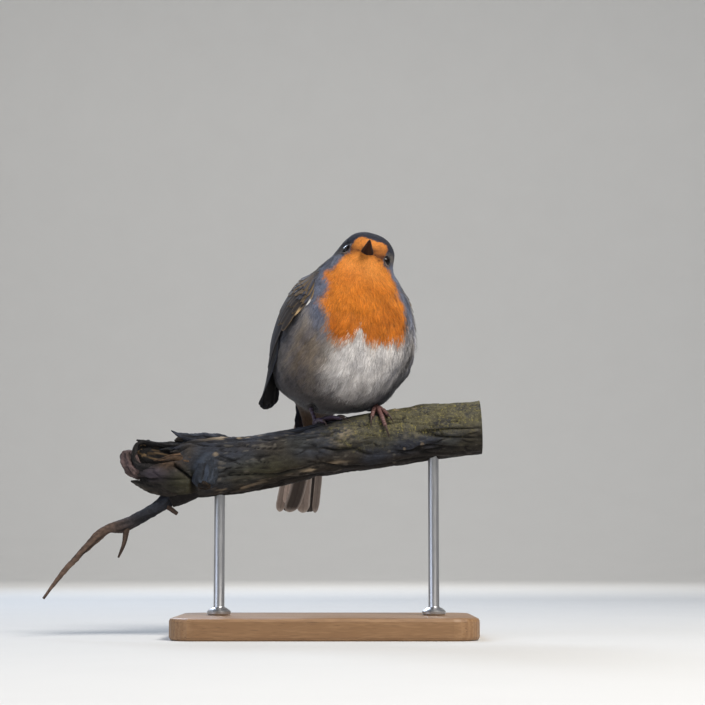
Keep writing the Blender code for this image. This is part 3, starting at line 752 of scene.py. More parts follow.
def combed(along, angle):
    """Where feathers lean from the plain way to the tail: sideways and outwards, in shares."""
    at = body_point(along, angle)
    sway = 0.30 * noise(at, 9.0, 31) + 0.16 * noise(at, 3.5, 33) + 0.16 * (1 - ramp(along, 7.0, 9.0))
    lift = 0.5 + 0.5 * noise(at, 5.0, 37)
    calm = 1 - 0.75 * ramp(along, 12.0, 14.5)
    return sway * calm, lift * calm


def make_tufts(rng, along, angle):
    """Points, colours and unwrap places of tufts: each a fan of thin barbs that lies on the coat."""
    count = len(along)
    per_section, per_degree, to_tail, sideways, out = body_axes(along, angle)
    root = body_point(along, angle)
    sway, lift = combed(along, angle)
    length, depth = coat_at(along)
    length = length * rng.uniform(0.72, 1.12, count)
    wide = length * np.interp(along, *SPREAD_AT)
    around_eye = np.zeros(count)
    for middle in EYE_MIDDLES.values():
        arm = root - middle
        reach = np.linalg.norm(arm, axis=-1)
        closeness = 1 - ramp(reach, EYE_RADIUS + 0.3, EYE_RADIUS + 2.6)
        away = np.sum(unit(arm) * sideways, axis=-1)
        toward = np.maximum(-np.sum(unit(arm) * to_tail, axis=-1), 0)
        around_eye += closeness * toward * np.where(away >= 0, 1, -1) * 1.5
        length = length * (1 - 0.45 * closeness)
    lean = sway + around_eye + rng.normal(0, 0.09, count)

    spread = np.linspace(-1, 1, BARBS)[None, :] + rng.normal(0, 0.14, (count, BARBS))
    barb_length = length[:, None] * (1 - 0.24 * spread**2) * rng.uniform(0.82, 1.1, (count, BARBS))
    barb_rise = rng.normal(0, 0.11, (count, BARBS)) * depth[:, None]
    lumps = layered(root, 4.2, 2, 41)
    top = (-0.30 + 0.26 * lumps + 0.30 * lift - 0.1) * depth
    half = np.interp(along, *BARB_WIDTH_AT)
    turn = angle % 360 - 180
    loose = ramp(drawn_out(along, turn, 0.45, 1.6, 1.9, 47, 2.2), 0.2, 0.6)
    flare = LOOSE_RISE * loose * blob(turn, -72, 20) * blob(along, 7.3, 1.0)
    barb_length = barb_length * (1 + 0.22 * flare[:, None])
    points = np.empty((count, BARBS, 5, 3))
    for k, (share, height_share, broad) in enumerate(BARB_STATIONS):
        forward = barb_length * share
        aside = forward * lean[:, None] + wide[:, None] * spread * share**0.8
        new_along = along[:, None] - forward / np.maximum(per_section, 0.8)[:, None]
        new_angle = angle[:, None] + aside / np.maximum(per_degree, 0.02)[:, None]
        height = -0.9 * depth[:, None] + (top[:, None] + 0.9 * depth[:, None]) * height_share
        height = height + barb_rise * share + (flare * share**4)[:, None]
        held = np.clip(new_along, 0.0, LAST_SECTION)
        at = settled_coat(body_point(held, new_angle), body_point(held, new_angle, height))
        past = np.clip(-new_along, 0, None) * per_section[:, None]
        at = at + to_tail[:, None, :] * past[..., None]
        tilt = sideways[:, None, :] + out[:, None, :] * 0.35 * spread[..., None]
        if k < 2:
            points[:, :, 2 * k] = at - tilt * (half[:, None] * broad)[..., None]
            points[:, :, 2 * k + 1] = at + tilt * (half[:, None] * broad)[..., None]
        else:
            points[:, :, 4] = at
    jitter = np.interp(along, *JITTER_AT)
    seen = along - 0.45 * length / np.maximum(per_section, 0.8) + rng.normal(0, 1, count) * jitter
    colour = markings(seen, angle + rng.normal(0, 1, count) * 0.5 / np.maximum(per_degree, 0.1))
    shade = 1 + rng.normal(0, 0.12, count) + 0.12 * lumps
    streak = 1 + rng.normal(0, 0.13, (count, BARBS))
    colour = colour * np.clip(shade, 0.6, 1.35)[:, None]
    tone = colour[:, None, None, :] * np.clip(streak, 0.7, 1.3)[..., None, None]
    # Painted shade towards each barb's root, with the feathers' grey bases.
    grey = BARB_GREY[:, None]
    tone = tone * BARB_DEPTH_SHADE[:, None] * (1 - grey) + ROOT_GREY_AND_SHADE * grey
    uv = unwrapped(along, angle)[:, None, None, :] + np.zeros((count, BARBS, 5, 1))
    uv[..., 0] += spread[..., None] * 0.4 * PATCH
    uv[..., 1] += BARB_UNWRAP * PATCH
    return points, np.clip(tone, 0, 1), np.clip(uv, 0.0005, 0.9995)


def make_coat(finish, density, seed):
    """The coat's pieces, from the tail forward."""
    rng = np.random.default_rng(seed)
    roots = tuft_roots(rng, density)
    along, angle = roots[:, 0], roots[:, 1]
    keep = ~on_eye(body_point(along, angle)) & (along > 0.05) & (along < 17.9)
    along, angle = along[keep], angle[keep]
    for name, low, high in COAT_PIECES:
        chosen = (along >= low) & (along < high)
        points, tone, uv = make_tufts(rng, along[chosen], angle[chosen])
        barbs = points.shape[0] * BARBS
        start = np.arange(barbs)[:, None] * 5
        quads = start + arr(0, 1, 3, 2).astype(int)
        tris = start + arr(2, 3, 4).astype(int)
        print(f"{name}: {points.shape[0]} tufts, {barbs * 3} triangles")
        made = new_piece(name, points.reshape(-1, 3), [quads, tris], tone.reshape(-1, 3),
                         uv.reshape(-1, 2))
        dressed(made, finish, slot="plumage_orange" if low > 7 else "plumage_pale")


# ---------------------------------------------------------------- wings and tail

WING_SHOULDER = 9.6
WING_LEAVES_BODY = 5.6
WING_TOP_EDGE = (52.0, 40.0)
WING_LOW_EDGE = (98.0, 92.0)
WING_TIP = (27.0, -28.0, 5.0)
WING_TIP_SLANT = (-0.97, -0.22, 0.1)
WING_TIP_HALF_WIDTH = 6.2
WING_ON_BODY = 0.6
WING_CLEARANCE = 0.3

TAIL_ROOT = (-33.5, 14.0)
TAIL_TIP = (-48.5, -43.0)
TAIL_SWING = -1.4
TAIL_TIP_HALF_WIDTH = 11.7
TAIL_ARCH = 1.8

COVERT = paint(66, 60, 58)
COVERT_EDGE = paint(138, 116, 86)
QUILL = paint(50, 50, 56)
QUILL_EDGE = paint(98, 92, 88)
# Near-black: the primaries' own dark brown, made darker as painted shade; the pad under the wing's feathers
# wears it too.
QUILL_SHADED = paint(12, 12, 15)
QUILL_RIM = paint(40, 44, 56)
BUFF_SPOT = paint(206, 172, 124)
PALE_SPOT = paint(216, 212, 206)
SHAFT = paint(44, 32, 26)
# The tail's pale brown and pale edges are painted lighter, as light on a tail in the branch's shadow; its
# dark is painted shade on feathers lying deeper; TAIL_SHADE is painted shade on the coverts at the viewer's
# left.
TAIL_PALE_LIT = paint(166, 152, 144)
TAIL_DEEP_SHADE = paint(38, 34, 34)
TAIL_EDGE = paint(210, 198, 190)
TAIL_ABOVE = paint(74, 62, 50)
TAIL_SHADE = paint(24, 26, 38)
TAIL_COVERT = paint(64, 56, 46)


PRIMARY_TIPS = ((0.88, 0.88), (0.94, 0.70), (0.985, 0.52), (0.97, 0.32), (0.92, 0.12))
# The other flight feathers and the greater coverts: how many; root share and across, tip share and
# across, lift at root and tip, each as the first one's and the step to the next; half width;
# tones; bluntness.
WING_GROUPS = (
    (6, ((0.44, 0), (0.74, -0.08), (0.90, -0.055), (0.74, -0.088), (0.30, 0), (0.36, 0.06)), 2.6,
     (QUILL_SHADED * 1.6, QUILL_RIM * 1.5), 0.8),
    (6, ((0.26, 0), (0.80, -0.08), (0.66, -0.02), (0.72, -0.092), (0.35, 0.01), (0.75, 0)), 2.8,
     (QUILL, QUILL_EDGE), 0.7),
    (3, ((0.22, 0), (0.36, -0.1), (0.62, -0.07), (0.30, -0.12), (0.5, 0), (0.8, 0.1)), 3.8,
     (QUILL * 0.9, QUILL_EDGE), 0.4),
    (9, ((0.13, 0), (0.98, -0.10625), (0.40, -0.005), (0.90, -0.0975), (0.2, 0), (1.0, 0)), 2.2,
     (COVERT * 0.7, COVERT_EDGE * 0.8), 0.3),
)


def wing_point(side, share, across, height):
    """Points of a wing: share runs from shoulder to tip, across from its top to its low edge."""
    share, across, height = np.broadcast_arrays(*(np.asarray(v, float) for v in (share, across, height)))
    on_body = np.minimum(share / WING_ON_BODY, 1.0)
    free = np.maximum(share - WING_ON_BODY, 0.0) / (1 - WING_ON_BODY)
    along = WING_SHOULDER + (WING_LEAVES_BODY - WING_SHOULDER) * on_body
    spread = np.sin(np.minimum(on_body / 0.35, 1.0) * math.pi / 2)
    middle = (WING_TOP_EDGE[0] + WING_LOW_EDGE[0]) / 2
    top, low = (first + (last - first) * on_body for first, last in (WING_TOP_EDGE, WING_LOW_EDGE))
    top, low = (middle + (edge - middle) * (0.35 + 0.65 * spread) for edge in (top, low))
    on_surface = body_point(along, side * (top + (low - top) * across), WING_CLEARANCE + height)
    tip = place(side * WING_TIP[0], WING_TIP[1], WING_TIP[2])
    slant = arr(*WING_TIP_SLANT)
    edges = place(side * (WING_TIP[0] + slant[0]), *(slant[1:] + WING_TIP[1:])) - tip
    shoulder = body_point(WING_SHOULDER, side * middle)
    outward_ = unit(np.cross(edges, tip - shoulder) * -side)
    half = WING_TIP_HALF_WIDTH * np.sqrt(np.maximum(1 - free**4, 0.03))
    at_tip = tip + edges * (half * (1 - 2 * across))[..., None] + outward_ * height[..., None]
    return on_surface + (at_tip - on_surface) * (1 - (1 - free) ** 1.8)[..., None]


def vane_shape(t, blunt=0.5):
    """Half width of a feather along its length, as a share: narrow root, full middle, round end."""
    rise = np.minimum(t / 0.28, 1.0) ** 0.7
    end = np.clip((1 - t) / (0.16 + 0.3 * (1 - blunt)), 0, 1)
    return rise * (1 - (1 - end) ** 2.2) ** 0.5


def add_vane(bunch, rng, spot, tones, half_width, rows, thick, camber, blunt, frayed, columns=9,
             tip_tone=None, tip_share=0.0, far_tone=None, shaft=0.85):
    """A feather: spot(t, w, height) gives its points, t down it from 0 to 1, w across in millimetres."""
    t = np.sin(np.linspace(0, math.pi / 2, rows))[:, None]
    w = np.linspace(-1, 1, columns)[None, :]
    body, edge = tones
    fray = 1 + frayed * rng.normal(0, 1, (rows, columns)) * (np.abs(w) > 0.95) * (t > 0.25)
    half = half_width * vane_shape(t, blunt) * fray
    sweep = 0.10 * np.abs(w) * (1 - t) * np.minimum(t / 0.2, 1)
    tt = np.clip(t - sweep * 0.25, 0, 1)
    lens = thick * (0.35 + 0.65 * (1 - np.abs(w))) * (0.35 + 0.65 * (1 - t))
    crown = camber * (1 - w**2) * np.minimum(t / 0.2, 1) + 0.10 * blob(w, 0, 0.10) * (1 - t)
    points = np.concatenate([spot(tt, w * half, level).reshape(-1, 3) for level in (crown + lens, crown)])
    barbs = rng.normal(0, 0.06, (rows, columns)) + 0.05 * np.sin(t * 90 + np.abs(w) * 14)
    rim = ramp(np.maximum(np.abs(w), 1 - 8 * (1 - t)), 0.62, 1.0)
    tone = mixed(body + 0 * t[..., None] * w[..., None], edge, rim)
    tone = mixed(tone, SHAFT, shaft * blob(w, 0, 0.11) + 0 * t)
    if tip_tone is not None:
        tone = mixed(tone, tip_tone, ramp(t - 0.03 * np.abs(w), 1 - tip_share, 1 - tip_share * 0.55))
    tone = np.clip(tone * (1 + barbs)[..., None], 0, 1)
    count = rows * columns
    top = grid_faces(rows, columns)
    below = grid_faces(rows, columns, count)[:, ::-1]
    grid = np.arange(count).reshape(rows, columns)
    rim_line = np.concatenate([grid[0], grid[1:, -1], grid[-1, -2::-1], grid[-2:0:-1, 0]])
    after = np.roll(rim_line, -1)
    sides = np.stack([rim_line, after, after + count, rim_line + count], axis=-1)
    tone = tone.reshape(-1, 3)
    far = tone * 0.9 if far_tone is None else mixed(tone, far_tone, 0.8)
    bunch.add(points, np.concatenate([tone, far]), np.concatenate([top, below, sides]))


def wing_spot(side, start, end, lift):
    """Where a wing feather's points lie, from its root and tip given as share and across."""
    start, end = arr(*start), arr(*end)

    def spot(t, w, height):
        share = start[0] + (end[0] - start[0]) * t
        across = start[1] + (end[1] - start[1]) * t
        edge_to_edge = wing_point(side, share, 1.0, 0.5) - wing_point(side, share, 0.0, 0.5)
        width = np.linalg.norm(edge_to_edge, axis=-1)
        level = lift[0] + (lift[1] - lift[0]) * t
        return wing_point(side, share, across + w / np.maximum(width, 2.0), level + height)

    return spot


def wing_rows():
    """Each feather: root share and across, tip share and across, half width, lift at root and tip,
    tones, bluntness, then a pale tip's colour and share."""
    rows = []
    for k, tip in enumerate(PRIMARY_TIPS):
        rows.append(((0.48, 0.86 - 0.12 * k), tip, 3.3, (0.10 + 0.02 * k, 0.10 + 0.03 * k),
                     (QUILL_SHADED, QUILL_RIM), 0.9, None, 0.0))
    for count, steps, half, tones, blunt in WING_GROUPS:
        for k in range(count):
            values = [first + step * k for first, step in steps]
            rows.append((values[0:2], values[2:4], half, values[4:6], tones, blunt, None, 0.0))
    for k in range(10):
        a = k / 9
        spot = (BUFF_SPOT, 0.34) if k == 0 else (None, 0.0)
        body = COVERT * (0.5 if k < 3 else 0.85)
        rows.append(((0.06, 1.16 - 1.1 * a), (0.265 - 0.03 * a, 1.06 - 0.96 * a),
                     0.95 if k == 0 else 1.9, (-0.4, 1.15), (body, COVERT_EDGE * 0.8), 0.2, *spot))
    for line in range(3):
        for k in range(16):
            a = (k + 0.5 * (line % 2)) / 15.5
            first = k == 0 and line == 0
            spot = (PALE_SPOT, 0.5) if first else (None, 0.0)
            brown = (k * 5 + line * 3) % 7 < 4
            body = COVERT_EDGE * 0.55 if brown else mixed(COVERT, BLUE_GREY, 0.4) * 0.7
            edge = COVERT_EDGE if brown else COVERT * 0.6
            rows.append(((0.05 - 0.035 * line, 1.42 - 1.34 * a), (0.175 - 0.04 * line, 1.24 - 1.16 * a),
                         0.65 if first else 1.05, (-1.0, 1.1 - 0.08 * line), (body, edge), 0.0, *spot))
    return rows


def make_wing(name, finish, seed):
    """A folded wing: a thin pad, painted dark as shade, under rows of flight feathers and coverts."""
    side = SIDES[name]
    # The left wing is held a little tighter to the body.
    tight = 1 if name == "left" else 0
    rng = np.random.default_rng(seed)
    bunch = Bunch()
    share, across = np.meshgrid(np.linspace(0.07, 0.90 - 0.05 * tight, 24), np.linspace(0, 1, 10),
                                indexing="ij")
    low = 0.90 - 0.14 * ramp(share, 0.2, 0.4)
    across = 0.10 + (low - 0.10) * across
    lens = -0.55 - 0.4 * tight + 0.62 * ramp(share, 0.06, 0.24) + 0.25 * np.sin(np.pi * across)
    over, under = wing_point(side, share, across, lens), wing_point(side, share, across, lens - 0.3)
    bunch.tube(np.concatenate([over, under[:, ::-1]], axis=1), QUILL_SHADED)
    for start, end, half, lift, tones, blunt, spot_tone, spot_share in wing_rows():
        scatter = rng.normal(0, 0.010, 2)
        end = (end[0] - 0.05 * tight * ramp(end[0], 0.7, 0.9) + scatter[0],
               end[1] - 0.1 * tight + scatter[1] * 0.7)
        start = (start[0], start[1] - 0.08 * tight)
        lift = (lift[0] - 0.5 * tight, lift[1] - 0.5 * tight)
        spot = wing_spot(side, start, end, lift)
        rows = 26 if end[0] - start[0] > 0.3 else 14
        tone = 1 + rng.normal(0, 0.09)
        add_vane(bunch, rng, spot, (tones[0] * tone, tones[1] * tone), half, rows, thick=0.13,
                 camber=0.16, blunt=blunt, frayed=0.05, tip_tone=spot_tone, tip_share=spot_share)
    return bunch.piece(f"wing_feathers_{name}", finish, f"wing_{name}", f"primaries_{name}",
                       slot="plumage_brown")


def tail_axes():
    root = place(0.0, *TAIL_ROOT)
    tip = place(TAIL_SWING, *TAIL_TIP)
    across = place(1.0, *TAIL_ROOT) - root
    length = float(np.linalg.norm(tip - root))
    along = (tip - root) / length
    return root, along, across, np.cross(along, across), length


# Tail feathers: place across at the root and the tip, how far the tip leans aside, how much shorter
# than the tail, how far below the others, half width, share of painted shade on deeper feathers, share of
# pale edge.
TAIL_FEATHERS = (
    (-0.4, -1.5, 0, 3.0, -0.62, 3.6, 0.8, 0.2), (0.4, 1.7, 0, 2.6, -0.50, 3.6, 0.8, 0.2),
    (-1.2, -3.9, 0, 1.6, -0.34, 3.6, 0.9, 0.05), (1.4, 4.6, 0, 1.2, -0.34, 3.6, 1.0, 0.05),
    (-2.0, -5.0, 0, 0.6, -0.06, 3.8, 0.9, 0.1), (2.4, 5.8, 0, 0.5, 0.0, 3.4, 0.97, 0.05),
    (3.0, 7.2, 0, 0.6, 0.12, 3.0, 0.95, 0.1), (1.2, 1.4, 1.4, 0.2, 0.22, 3.8, 0.0, 0.8),
    (-3.2, -8.8, -0.4, 0.4, 0.20, 2.4, 0.1, 0.9), (-3.0, -7.0, 0.2, 4.8, 0.36, 2.3, -0.5, 0.6),
    (0.2, -1.0, -3.6, 0.5, 0.52, 4.1, 0.82, 0.75), (3.9, 9.3, 0.3, 0.1, 0.52, 2.1, 0.45, 0.5),
)


def make_tail(finish, seed):
    """Twelve tail feathers, the outer ones lowest, with coverts over and under their roots."""
    rng = np.random.default_rng(seed)
    root, along, across, back, length = tail_axes()
    bunch = Bunch()

    def tail_spot(at_root, at_tip, start, reach, rise, fall, lean=0.0):
        def spot(t, w, height):
            aside = at_root + (at_tip - at_root) * np.sin(t * math.pi / 2) + lean * t**7
            bow = -TAIL_ARCH * ((aside + w) / TAIL_TIP_HALF_WIDTH) ** 2 * t
            level = rise + (fall - rise) * t + bow
            return (root + along * (start + (reach - start) * t)[..., None]
                    + across * (aside + w)[..., None] + back * (level + height - 0.1)[..., None])

        return spot

    for a, b, lean, shorter, level, half, dark, edge in TAIL_FEATHERS:
        body = mixed(TAIL_PALE_LIT, TAIL_DEEP_SHADE, dark) * (1 + rng.normal(0, 0.04))
        tones = (np.clip(body, 0, 1), mixed(body, TAIL_EDGE, edge))
        spot = tail_spot(a, b, 0.0, length - shorter, level, level, lean)
        add_vane(bunch, rng, spot, tones, half, rows=36, thick=0.12, camber=0.10, blunt=1.26,
                 frayed=0.015, columns=13, far_tone=TAIL_ABOVE, shaft=0.3)
    # Coverts over and under the roots, in rows that lie on one another.
    for below in (-1, 1):
        for line in range(4):
            for k in range(-1 if below > 0 else 0, 8):
                a = (k - 3.5 + 0.5 * (line % 2)) * 1.55
                reach = 24.0 - 5.0 * line - (0.16 if a > 0 else 0.1) * a * a + rng.normal(0, 1.0)
                rise, fall = below * (1.4 + 0.3 * line), below * (0.9 + 0.25 * line)
                body = OLIVE * 0.95 if below < 0 else mixed(TAIL_COVERT, TAIL_SHADE, ramp(-a, 1.5, 3.5))
                body = body * (1 + rng.normal(0, 0.09))
                spot = tail_spot(a, a * 0.98, -6.0, reach, rise, fall)
                add_vane(bunch, rng, spot, (body, body * 1.2), 1.7, rows=14, thick=0.12, camber=0.25,
                         blunt=0.1, frayed=0.2)
    return bunch.piece("tail_feathers", finish, "tail", slot="plumage_brown")


def vane_finish():
    made = Finish("flight_feathers", sheen_weight=0.05, specular_ior_level=0.2)
    fine = made.mottle(0.22, 2.0)
    broad = made.mottle(2.4, 3.0)
    colour = made.mix(fine.between(0.35, 0.8) * 0.3, made.attribute(), (0.02, 0.016, 0.014))
    colour = made.mix(broad.between(0.45, 0.8) * 0.06, colour, (0.22, 0.2, 0.19))
    made.bumped(fine, 0.05, 0.6)
    return made.wear(base_color=colour, roughness=0.58 + broad * 0.25).made


# ---------------------------------------------------------------- eyes and bill

BILL_ROOT = 7.2
BILL_TIP = 20.6
BILL_HALF_WIDTH = 4.0
BILL_DROP = -2.7
BILL_DROOP = 0.1
UPPER_DEPTH = 2.6
LOWER_DEPTH = 1.5
BILL_PARTING = 0.05

LID = paint(34, 29, 29)
LID_PALE = paint(150, 134, 122)
BILL_DARK = paint(10, 12, 22)
BILL_BASE = paint(24, 20, 24)


def eye_finish():
    """Nearly black, mottled with a little brown, under a wet clear coat."""
    made = Finish("eye_gloss", coat_weight=1.0, coat_roughness=0.02, coat_ior=1.2,
                  specular_ior_level=0.12)
    depth = made.mottle(1.2, 2.0)
    colour = made.mix(depth.between(0.35, 0.7), (0.003, 0.002, 0.002), (0.010, 0.005, 0.004))
    return made.wear(base_color=colour, roughness=0.10 + depth * 0.04).made


def deselected():
    bpy.ops.object.select_all(action="DESELECT")


def settled(piece):
    """Puts a piece's place and turn into its mesh."""
    deselected()
    piece.select_set(True)
    bpy.context.view_layer.objects.active = piece
    bpy.ops.object.transform_apply(location=True, rotation=True, scale=True)
    return piece


def make_eye(side, finish):
    """An eyeball with a slightly raised front."""
    middle = EYE_MIDDLES[side]
    out = eye_axes(side)[0]
    deselected()
    bpy.ops.mesh.primitive_uv_sphere_add(segments=48, ring_count=32, radius=EYE_RADIUS * MM,
                                         location=[float(v) for v in middle * MM])
    ball = bpy.context.active_object
    ball.name = f"eyeball_{side}"
    bpy.ops.object.shade_smooth()
    settled(ball)
    places = np.empty(len(ball.data.vertices) * 3, dtype=np.float32)
    ball.data.vertices.foreach_get("co", places)
    places = places.reshape(-1, 3) / MM
    arm = places - middle
    facing = arm @ out / EYE_RADIUS
    places = middle + arm * (1 - EYE_FRONT_RISE * (1 - ramp(facing, -0.2, 0.6)) - 0.01)[:, None]
    ball.data.vertices.foreach_set("co", (places * MM).ravel().astype(np.float32))
    return dressed(ball, finish, f"eye_{side}", slot="eye")


def make_lids(side, finish, seed):
    """Upper and lower lid as one soft rim round the eyeball, with a row of tiny lid scales."""
    rng = np.random.default_rng(seed)
    middle = EYE_MIDDLES[side]
    out, ahead, up = eye_axes(side)
    around, section = 72, 10
    turn = np.arange(around) * 2 * math.pi / around
    opening = np.radians(LID_OPENING - 3.0 * np.abs(np.sin(turn)) ** 2)
    bunch = Bunch()
    way = np.cos(turn)[:, None] * ahead + np.sin(turn)[:, None] * up
    rim = np.cos(opening)[:, None] * out + np.sin(opening)[:, None] * way
    tangent = unit(np.roll(rim, -1, axis=0) - np.roll(rim, 1, axis=0))
    aside = np.cross(tangent, rim)
    thick = LID_THICKNESS * (1 + 0.18 * np.abs(np.sin(turn * 18)) + rng.normal(0, 0.04, around))
    rings = []
    for a in np.arange(section) * 2 * math.pi / section:
        bulge = rim * math.cos(a) * 0.8 + aside * math.sin(a)
        rings.append(middle + rim * (EYE_RADIUS + 0.02) + bulge * thick[:, None])
    rings = np.stack(rings, axis=1)
    low = 0.5 - 0.5 * np.sin(turn)
    tone = mixed(LID, LID_PALE, ramp(low, 0.75, 1.0) * 0.8)
    tones = np.repeat(tone[:, None, :], section, axis=1)
    bunch.add(rings, tones, grid_faces(around, section, around=True, closed=True))
    return bunch.piece(f"lids_{side}", finish, slot="leg_skin")


def mandible(depth, direction):
    """Rings of one half of the bill, with a ridge, a nostril on the upper one and a thin cutting edge."""
    rows, columns = 48, 28
    share = np.linspace(0, 1, rows)[:, None]
    a = np.linspace(0, math.pi, columns)[None, :]
    slim = (1 - share) ** 0.85 * 0.95 + 0.05
    half_width = BILL_HALF_WIDTH * slim * (1.04 - 0.16 * np.sin(math.pi * share))
    forward = BILL_ROOT + (BILL_TIP - BILL_ROOT) * share
    gape = BILL_DROP + BILL_DROOP * share**2 + direction * BILL_PARTING
    ridge = 1 + 0.10 * blob(a, math.pi / 2, 0.25) * (1 - share)
    rise = depth * slim * np.sin(a) ** 0.8 * ridge
    groove = 0.0
    if direction > 0:
        side = np.minimum(np.abs(a - 0.75), np.abs(a - math.pi + 0.75))
        groove = blob(share, 0.30, 0.07) * blob(side, 0, 0.20)
        rise = rise * (1 - 0.22 * groove)
    across = half_width * np.cos(a) * (1 - 0.10 * groove)
    points = head_place(forward + 0 * a, across, gape + direction * rise)
    edge = np.abs(np.cos(a)) + 0 * share
    dark = 1 + 0 * edge
    if direction < 0:
        dark = np.maximum(ramp(share + 0 * a, 0.05, 0.5), ramp(edge, 0.35, 0.8))
    tone = mixed(BILL_BASE + 0 * points, BILL_DARK, dark)
    # Painted shade in the nostril's groove.
    tone = mixed(tone, tone * 0.25, groove + 0 * share * a)
    return points, tone


def horn_finish():
    return grained_finish("horn", (0.5, 4.0), (0.3, 0.75, 0.5, (0.010, 0.008, 0.009)), (0.03, 0.5),
                          (0.28, 0.25), specular_ior_level=0.35)


def make_bill(finish, seed):
    """Both halves of the bill, and the stiff bristles at its corners."""
    for node, depth, direction in (("bill_upper", UPPER_DEPTH, 1), ("bill_lower", LOWER_DEPTH, -1)):
        points, tone = mandible(depth, direction)
        bunch = Bunch()
        bunch.tube(points, tone)
        bunch.piece(f"{node}_horn", finish, node, slot="bill")
    rng = np.random.default_rng(seed)
    bristles = Bunch()
    for flank in (-1, 1):
        for k in range(9):
            root = head_place(9.0 + 0.1 * k, flank * (3.9 - 0.16 * k), -3.0 + 0.32 * k)
            way = head_way(1.0, flank * (0.18 - 0.03 * k + 0.05 * rng.normal()), 0.02 * k)
            bend = head_way(0.0, flank * 0.5, -0.3)
            reach = 3.6 - 0.15 * k + rng.uniform(-0.4, 0.4)
            t = np.linspace(0, 1, 7)
            path = root + way * (t * reach)[:, None] + bend * (0.7 * t**2)[:, None]
            bristles.tube(sweep_rings(path, 0.035 * (1 - 0.75 * t), 5), BILL_DARK * 0.8)
    bristles.piece("bill_bristles", finish, slot="bill")


def sweep_rings(path, radii, around, flat=1.0):
    """Rings along a path; radii is one number a place, or one for every ring point."""
    path = np.asarray(path, dtype=float)
    way = unit(np.gradient(path, axis=0))
    normal = unit(np.cross(way[0], (0.3, 0.5, 0.8)))
    rings = []
    a = np.arange(around) * 2 * math.pi / around
    for k, at in enumerate(path):
        normal = unit(normal - way[k] * np.dot(normal, way[k]))
        other = np.cross(way[k], normal)
        r = np.broadcast_to(np.asarray(radii[k], float), (around,))[:, None]
        rings.append(at + (normal * np.cos(a)[:, None] + other * flat * np.sin(a)[:, None]) * r)
    return np.array(rings)


# ---------------------------------------------------------------- branch and twig

# Middle across X, Y, Z and radius of the branch.
BRANCH_STATIONS = (
    (-95, 0, 79, 8.4), (-88, 0, 77.4, 11), (-78, 0, 77.2, 12.9), (-60, 0, 78.4, 14.2), (-42, 0, 80.3, 13.5),
    (-21, 0, 84, 12.9), (0, 0, 88, 12.8), (20, 0, 91.5, 13.2), (40, 0, 94.8, 12.9), (63, 0, 96.5, 12.8),
)
# Where along X the bark ends at the broken end, and where it is torn back: angle, reach, depth.
TORN_EDGE = -93.5
TORN_BACK = ((50, 27, 17.0), (120, 24, -2.0))
# Knots on the bark: place along X, angle, size.
KNOTS = ((26.0, 24.0, 2.2), (34.0, 30.0, 2.0), (-58.6, 70.0, 1.7), (26.2, 122.0, 1.0), (34.6, 118.0, 1.4))
# Swellings by the broken end: place and reach along X, place and reach up.
END_SWELLS = ((-71.5, 4.5, 85, 5), (-86.5, 5.5, 75, 3.4), (-76, 6.0, 70.5, 5.5), (-81.5, 5.5, 79.3, 2.4),
              (-69.9, 1.2, 70.5, 5.0), (-63.8, 5.2, 76.0, 8.0))
BARK_GREY = paint(50, 53, 62)
# Dark bark, also used as painted shade under the branch, in its cracks, furrows and clefts, and inside the
# torn end.
BARK_DARK = paint(22, 20, 20)
BARK_BLUE = paint(50, 56, 66)
BARK_VIOLET = paint(78, 70, 78)
BARK_BROWN = paint(50, 45, 40)
BARK_OLIVE = paint(66, 64, 46)
BARK_PALE = paint(112, 106, 96)
BARK_RUST = paint(86, 66, 48)
WOOD_GOLD = paint(116, 94, 66)
WOOD_PALE = paint(196, 176, 148)
HEART_PINK = paint(92, 76, 74)
LICHEN = paint(116, 110, 82)
LICHEN_YELLOW = paint(144, 134, 74)
CUT_WOOD = paint(188, 152, 108)
TWIG_BROWN = paint(102, 82, 70)

# The lichen's lower edge: its slope along X and its height where X is 0; then where along X the
# lichen starts and where it is full.
LICHEN_EDGE = (0.165, 88.0)
LICHEN_START = (-4.0, 24.0)

# Forms at the broken end and of the twig: places and radius down each.
TORN_CORE = (
    (-64, 1, 78.0, 11.0), (-76, 1.5, 79.0, 10.8), (-86, 1.5, 80.0, 9.7), (-92, 1.5, 81.6, 9.0),
    (-96, 1.5, 83.6, 7.4), (-98, 1.5, 84.8, 5.0),
)
TORN_SLAB = (
    (-100.2, -1.6, 86.0, 1.2), (-100.2, -1.7, 84.6, 3.4), (-99.4, -1.9, 82.0, 3.9),
    (-98.2, -2.2, 79.0, 3.7), (-96.8, -2.4, 76.6, 3.9), (-95.2, -2.4, 74.6, 3.0), (-93.6, -2.4, 73.4, 1.4),
)
